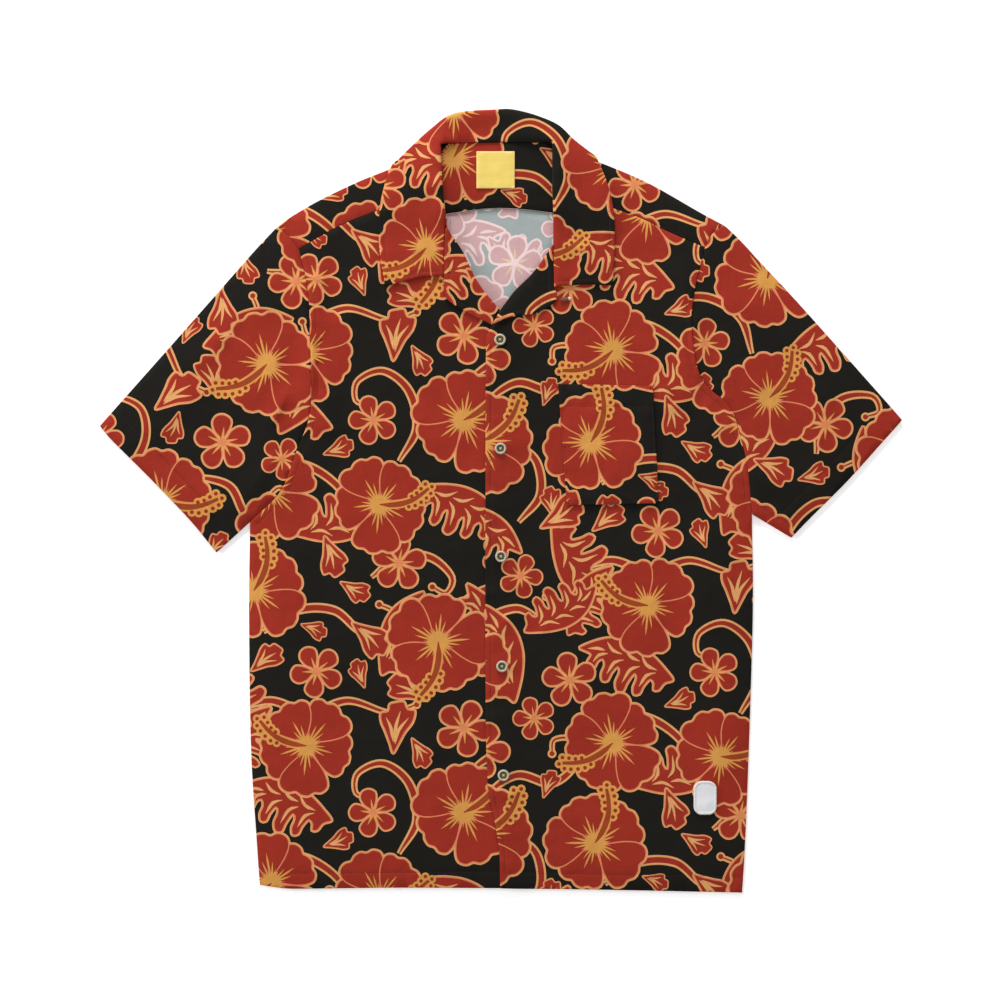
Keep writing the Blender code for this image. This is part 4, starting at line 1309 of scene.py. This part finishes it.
def plastic_material(name, colour):
    """Turned plastic: fine rings about the button's middle, and cloudy colour."""
    material, shader, place = new_material(name)
    links = {"Vector": place}
    rings = add_node(place, "ShaderNodeTexWave", links, Scale=RING_SCALE, Distortion=1.5, Detail=2.0)
    rings.wave_type = "RINGS"
    rings.rings_direction = "Z"
    clouds = streaks(place, CLOUDS)
    dark, pale = (np.minimum(np.array(linear(colour)) * share, 1) for share in PLASTIC_TONES)
    two_tones(shader, clouds, dark, pale)
    gloss = maths("MULTIPLY_ADD", clouds, *PLASTIC_GLOSS)
    relief(shader, gloss, maths("ADD", rings.outputs["Fac"], clouds), *PLASTIC_BUMP)
    return material


MATERIALS = {name: cloth_material("print_" + name, colour) for name, colour in FACE_COLOURS.items()}
for name, colour in WRONG_COLOURS.items():
    MATERIALS["wrong_" + name] = cloth_material("wrong_" + name, colour, change=0.2, rough=0.85)
for name, colour in TRIM_COLOURS.items():
    rough = TRIM_ROUGHNESS.get(name, 0.72)
    MATERIALS[name] = cloth_material(name, colour, pitch=0.0006, change=0.12, rough=rough)
for name, colour in BUTTON_COLOURS.items():
    MATERIALS[name] = plastic_material("button_" + name, colour)


# The shirt's cloth


def build_cloth():
    """Settles and builds every cloth piece. Returns the plies and the heights of the finished stack."""
    plies = [ply for name in CUTS for ply in plies_of(name)]
    shadow = np.any([ply.covered for ply in plies], axis=0).astype(float)
    ease = np.clip(2 * spread(shadow, EDGE_EASE) / spread(np.ones_like(shadow), EDGE_EASE) - 1, 0, 1)
    folds = fine_folds() * ease * ease * (3 - 2 * ease)
    ground = np.full(GRID_SHAPE, -STACK_GAP)
    for ply in sorted(plies, key=lambda ply: ply.middle[2]):
        lift = folds if ply.middle[2] > UPPER_PLY else UNDER_SHARE * folds[:, ::-1]
        ground = ply.settle(ground, 0.0 if ply.node in PLAIN_PIECES else lift)
    for name in CUTS:
        shell = Shell()
        own = [ply for ply in plies if ply.node == name]
        for ply in own:
            others = [other for other in own if other is not ply]
            shell.add_ply(ply, *shown_sides(ply), fold_rows(ply, others))
        shell.finish(name + "_cloth", SLOTS.get(name, "print_cloth"), name)
    return plies, ground


# Threads, loop and buttons


def add_threads(shell, middles, ways, length, width, slot):
    """Adds a short round thread at each middle, along its way and bent up in the middle."""
    ways = unit(ways)
    sides = unit(np.cross((0, 0, 1), ways))
    ups = np.cross(ways, sides)
    turn = circle(STITCH_SIDES)
    around = sides[:, None] * turn[:, :1] + ups[:, None] * turn[:, 1:]
    rows = []
    for place, size, rise in STITCH_RINGS:
        centre = middles + ways * (place * length) + ups * (rise * width / 2)
        rows.append(centre[:, None] + around * (size * width / 2))
    last = (len(STITCH_RINGS) - 1) * STITCH_SIDES
    faces = []
    for ring in range(0, last, STITCH_SIDES):
        for side in range(STITCH_SIDES):
            a, b = ring + side, ring + (side + 1) % STITCH_SIDES
            faces += [(a, b, b + STITCH_SIDES), (a, b + STITCH_SIDES, a + STITCH_SIDES)]
    for side in range(1, STITCH_SIDES - 1):
        faces += [(0, side + 1, side), (last, last + side, last + side + 1)]
    numbers = shell.add_points(np.stack(rows, axis=1).reshape(-1, 3))
    shell.add_faces(np.array(faces) + numbers[:: last + STITCH_SIDES, None, None], slot)


def add_stitches(plies):
    """Threads along every seam, and over the patch's edge."""
    shell = Shell()
    for ply in plies:
        slot = THREADS.get(ply.node, "thread")
        for side, runs in ply.seams.items():
            for run in runs:
                points = np.column_stack([run, ply.surface(side, run)])
                middles, ways = 0.5 * (points[1:] + points[:-1]), points[1:] - points[:-1]
                add_threads(shell, middles, ways, STITCH_LENGTH, STITCH_WIDTH, slot)
        if ply.node == "hem_patch":
            edge = edge_run(ply.outline, ply.outline[0], ply.outline[-1], 0.0, WHIP_PITCH)
            inward = set_in(edge, 1.0) - edge
            flat = edge + inward * (0.5 * WHIP_LENGTH - WHIP_PAST)
            middles = np.column_stack([flat, read(ply.high, flat) + WHIP_LIFT])
            ways = np.column_stack([inward, np.full(len(inward), WHIP_SLOPE)])
            add_threads(shell, middles, ways, WHIP_LENGTH, WHIP_WIDTH, "thread_white")
    shell.finish("seam_stitches", "print_cloth")


def add_loop(ground):
    """The loop for the top button: a short double cord, twisted, which lies on the lapel."""
    path = smooth_path(LOOP_PATH, LOOP_STEP)
    share = np.linspace(0, 1, len(path))
    power, least = LOOP_ENDS
    half = spaced(LOOP_WIDTHS, len(path)) * np.sqrt(np.clip(1 - np.abs(2 * share - 1) ** power, least, 1))
    sides = leftward(unit(np.gradient(path, axis=0)))
    turn = np.arange(LOOP_SIDES) * 2 * math.pi / LOOP_SIDES
    base = read(ground, path) + LOOP_LIFT
    shell = Shell()
    rows = []
    for point, side, width, place, height in zip(path, sides, half, lengths_along(path), base):
        strand = 1 + LOOP_STRANDS * np.cos(2 * turn - 2 * math.pi * place / LOOP_TWIST)
        flat = point + np.outer(np.cos(turn) * width * strand, side)
        rows.append(shell.add_points(np.column_stack([flat, height + np.sin(turn) * LOOP_HEIGHT * strand])))
    slots = np.where(share[:-1] < LOOP_LIGHT_END, "loop", "loop_end")
    for first, second, slot in zip(rows, rows[1:], slots):
        shell.add_band(second, first, slot)
    shell.add_fan(rows[0], slots[0], True)
    shell.add_fan(rows[-1], slots[-1])
    shell.finish("button_loop_cord", "print_cloth", "button_loop")


def add_button(name, place, ground):
    """A turned button with a rim, a dish, four holes, and thread crossed over them."""
    shell = Shell()
    edge = circle(BUTTON_SIDES)
    base = float(read(ground, place + BUTTON_SEAT * edge).mean()) + BUTTON_LIFT

    def add_row(points, height):
        return shell.add_points(np.column_stack([place + points, np.full(len(points), base + height)]))

    rows = [add_row(edge * radius, height) for radius, height, slot in BUTTON_FORM]
    for first, second, (_, _, slot) in zip(rows, rows[1:], BUTTON_FORM[1:]):
        shell.add_band(second, first, slot)
    radius, height, _ = BUTTON_FORM[-1]
    apart, hole, depth = HOLES
    holes = [disc((x * apart, y * apart), hole, HOLE_SIDES) for x, y in ((1, 1), (-1, 1), (-1, -1), (1, -1))]
    corners, faces, colours = triangles(edge * radius, [("hole", loop) for loop in holes], DISH_STEP, "dish")
    shell.add_faces(add_row(corners, height)[faces[colours == "dish"]], "dish")
    for loop in holes:
        top, bottom = add_row(loop, height), add_row(loop, height - depth)
        shell.add_band(bottom, top, "hole", True)
        shell.add_fan(bottom, "hole")
    middles = np.array([(*place, base + height + lift) for lift in THREAD_LIFTS])
    ways = np.array([(1.0, 1.0, 0.0), (1.0, -1.0, 0.0)])
    add_threads(shell, middles, ways, *CROSSED_THREAD, "thread_gold")
    shell.finish(name + "_turned", "button", name, middle=(*place, base))


plies, ground = build_cloth()
add_stitches(plies)
add_loop(ground)
for number, place in enumerate(BUTTONS, 1):
    add_button("button_%d" % number, np.array(place, float), ground)


# Floor, lights and camera


def add_floor():
    mesh = bpy.data.meshes.new("floor")
    corners = ((-1, -1), (1, -1), (1, 1), (-1, 1))
    places = [(x * FLOOR_REACH, y * FLOOR_REACH, FLOOR_HEIGHT) for x, y in corners]
    mesh.from_pydata(places, [], [(0, 1, 2, 3)])
    material, shader, place = new_material("floor")
    two_tones(shader, streaks(place, FLOOR_CLOUDS), *([tone] * 3 for tone in FLOOR_TONES))
    shader.inputs["Roughness"].default_value = FLOOR_ROUGHNESS
    shader.inputs["Emission Color"].default_value = (1, 1, 1, 1)
    shader.inputs["Emission Strength"].default_value = FLOOR_GLOW
    mesh.materials.append(material)
    link("floor", mesh)


def add_light(name, place, size, power):
    data = bpy.data.lights.new(name, "AREA")
    data.shape = "DISK"
    data.size = size
    data.energy = power
    light = link(name, data)
    light.location = place
    light.rotation_euler = (-Vector(place)).to_track_quat("-Z", "Y").to_euler()


def add_camera():
    data = bpy.data.cameras.new("camera")
    data.sensor_width = SENSOR
    data.lens = SENSOR * CAMERA_HEIGHT / FRAME_WIDTH
    data.clip_end = CAMERA_REACH
    camera = link("camera", data)
    camera.location = (*CAMERA_MIDDLE, CAMERA_HEIGHT)
    bpy.context.scene.camera = camera


add_floor()
for name, (place, size, power) in LIGHTS.items():
    add_light(name, place, size, power)
add_camera()
world = bpy.data.worlds.new("studio")
world.use_nodes = True
background = world.node_tree.nodes["Background"]
background.inputs["Color"].default_value = (1, 1, 1, 1)
background.inputs["Strength"].default_value = WORLD_GLOW
bpy.context.scene.world = world
bpy.context.scene.view_settings.view_transform = "Standard"
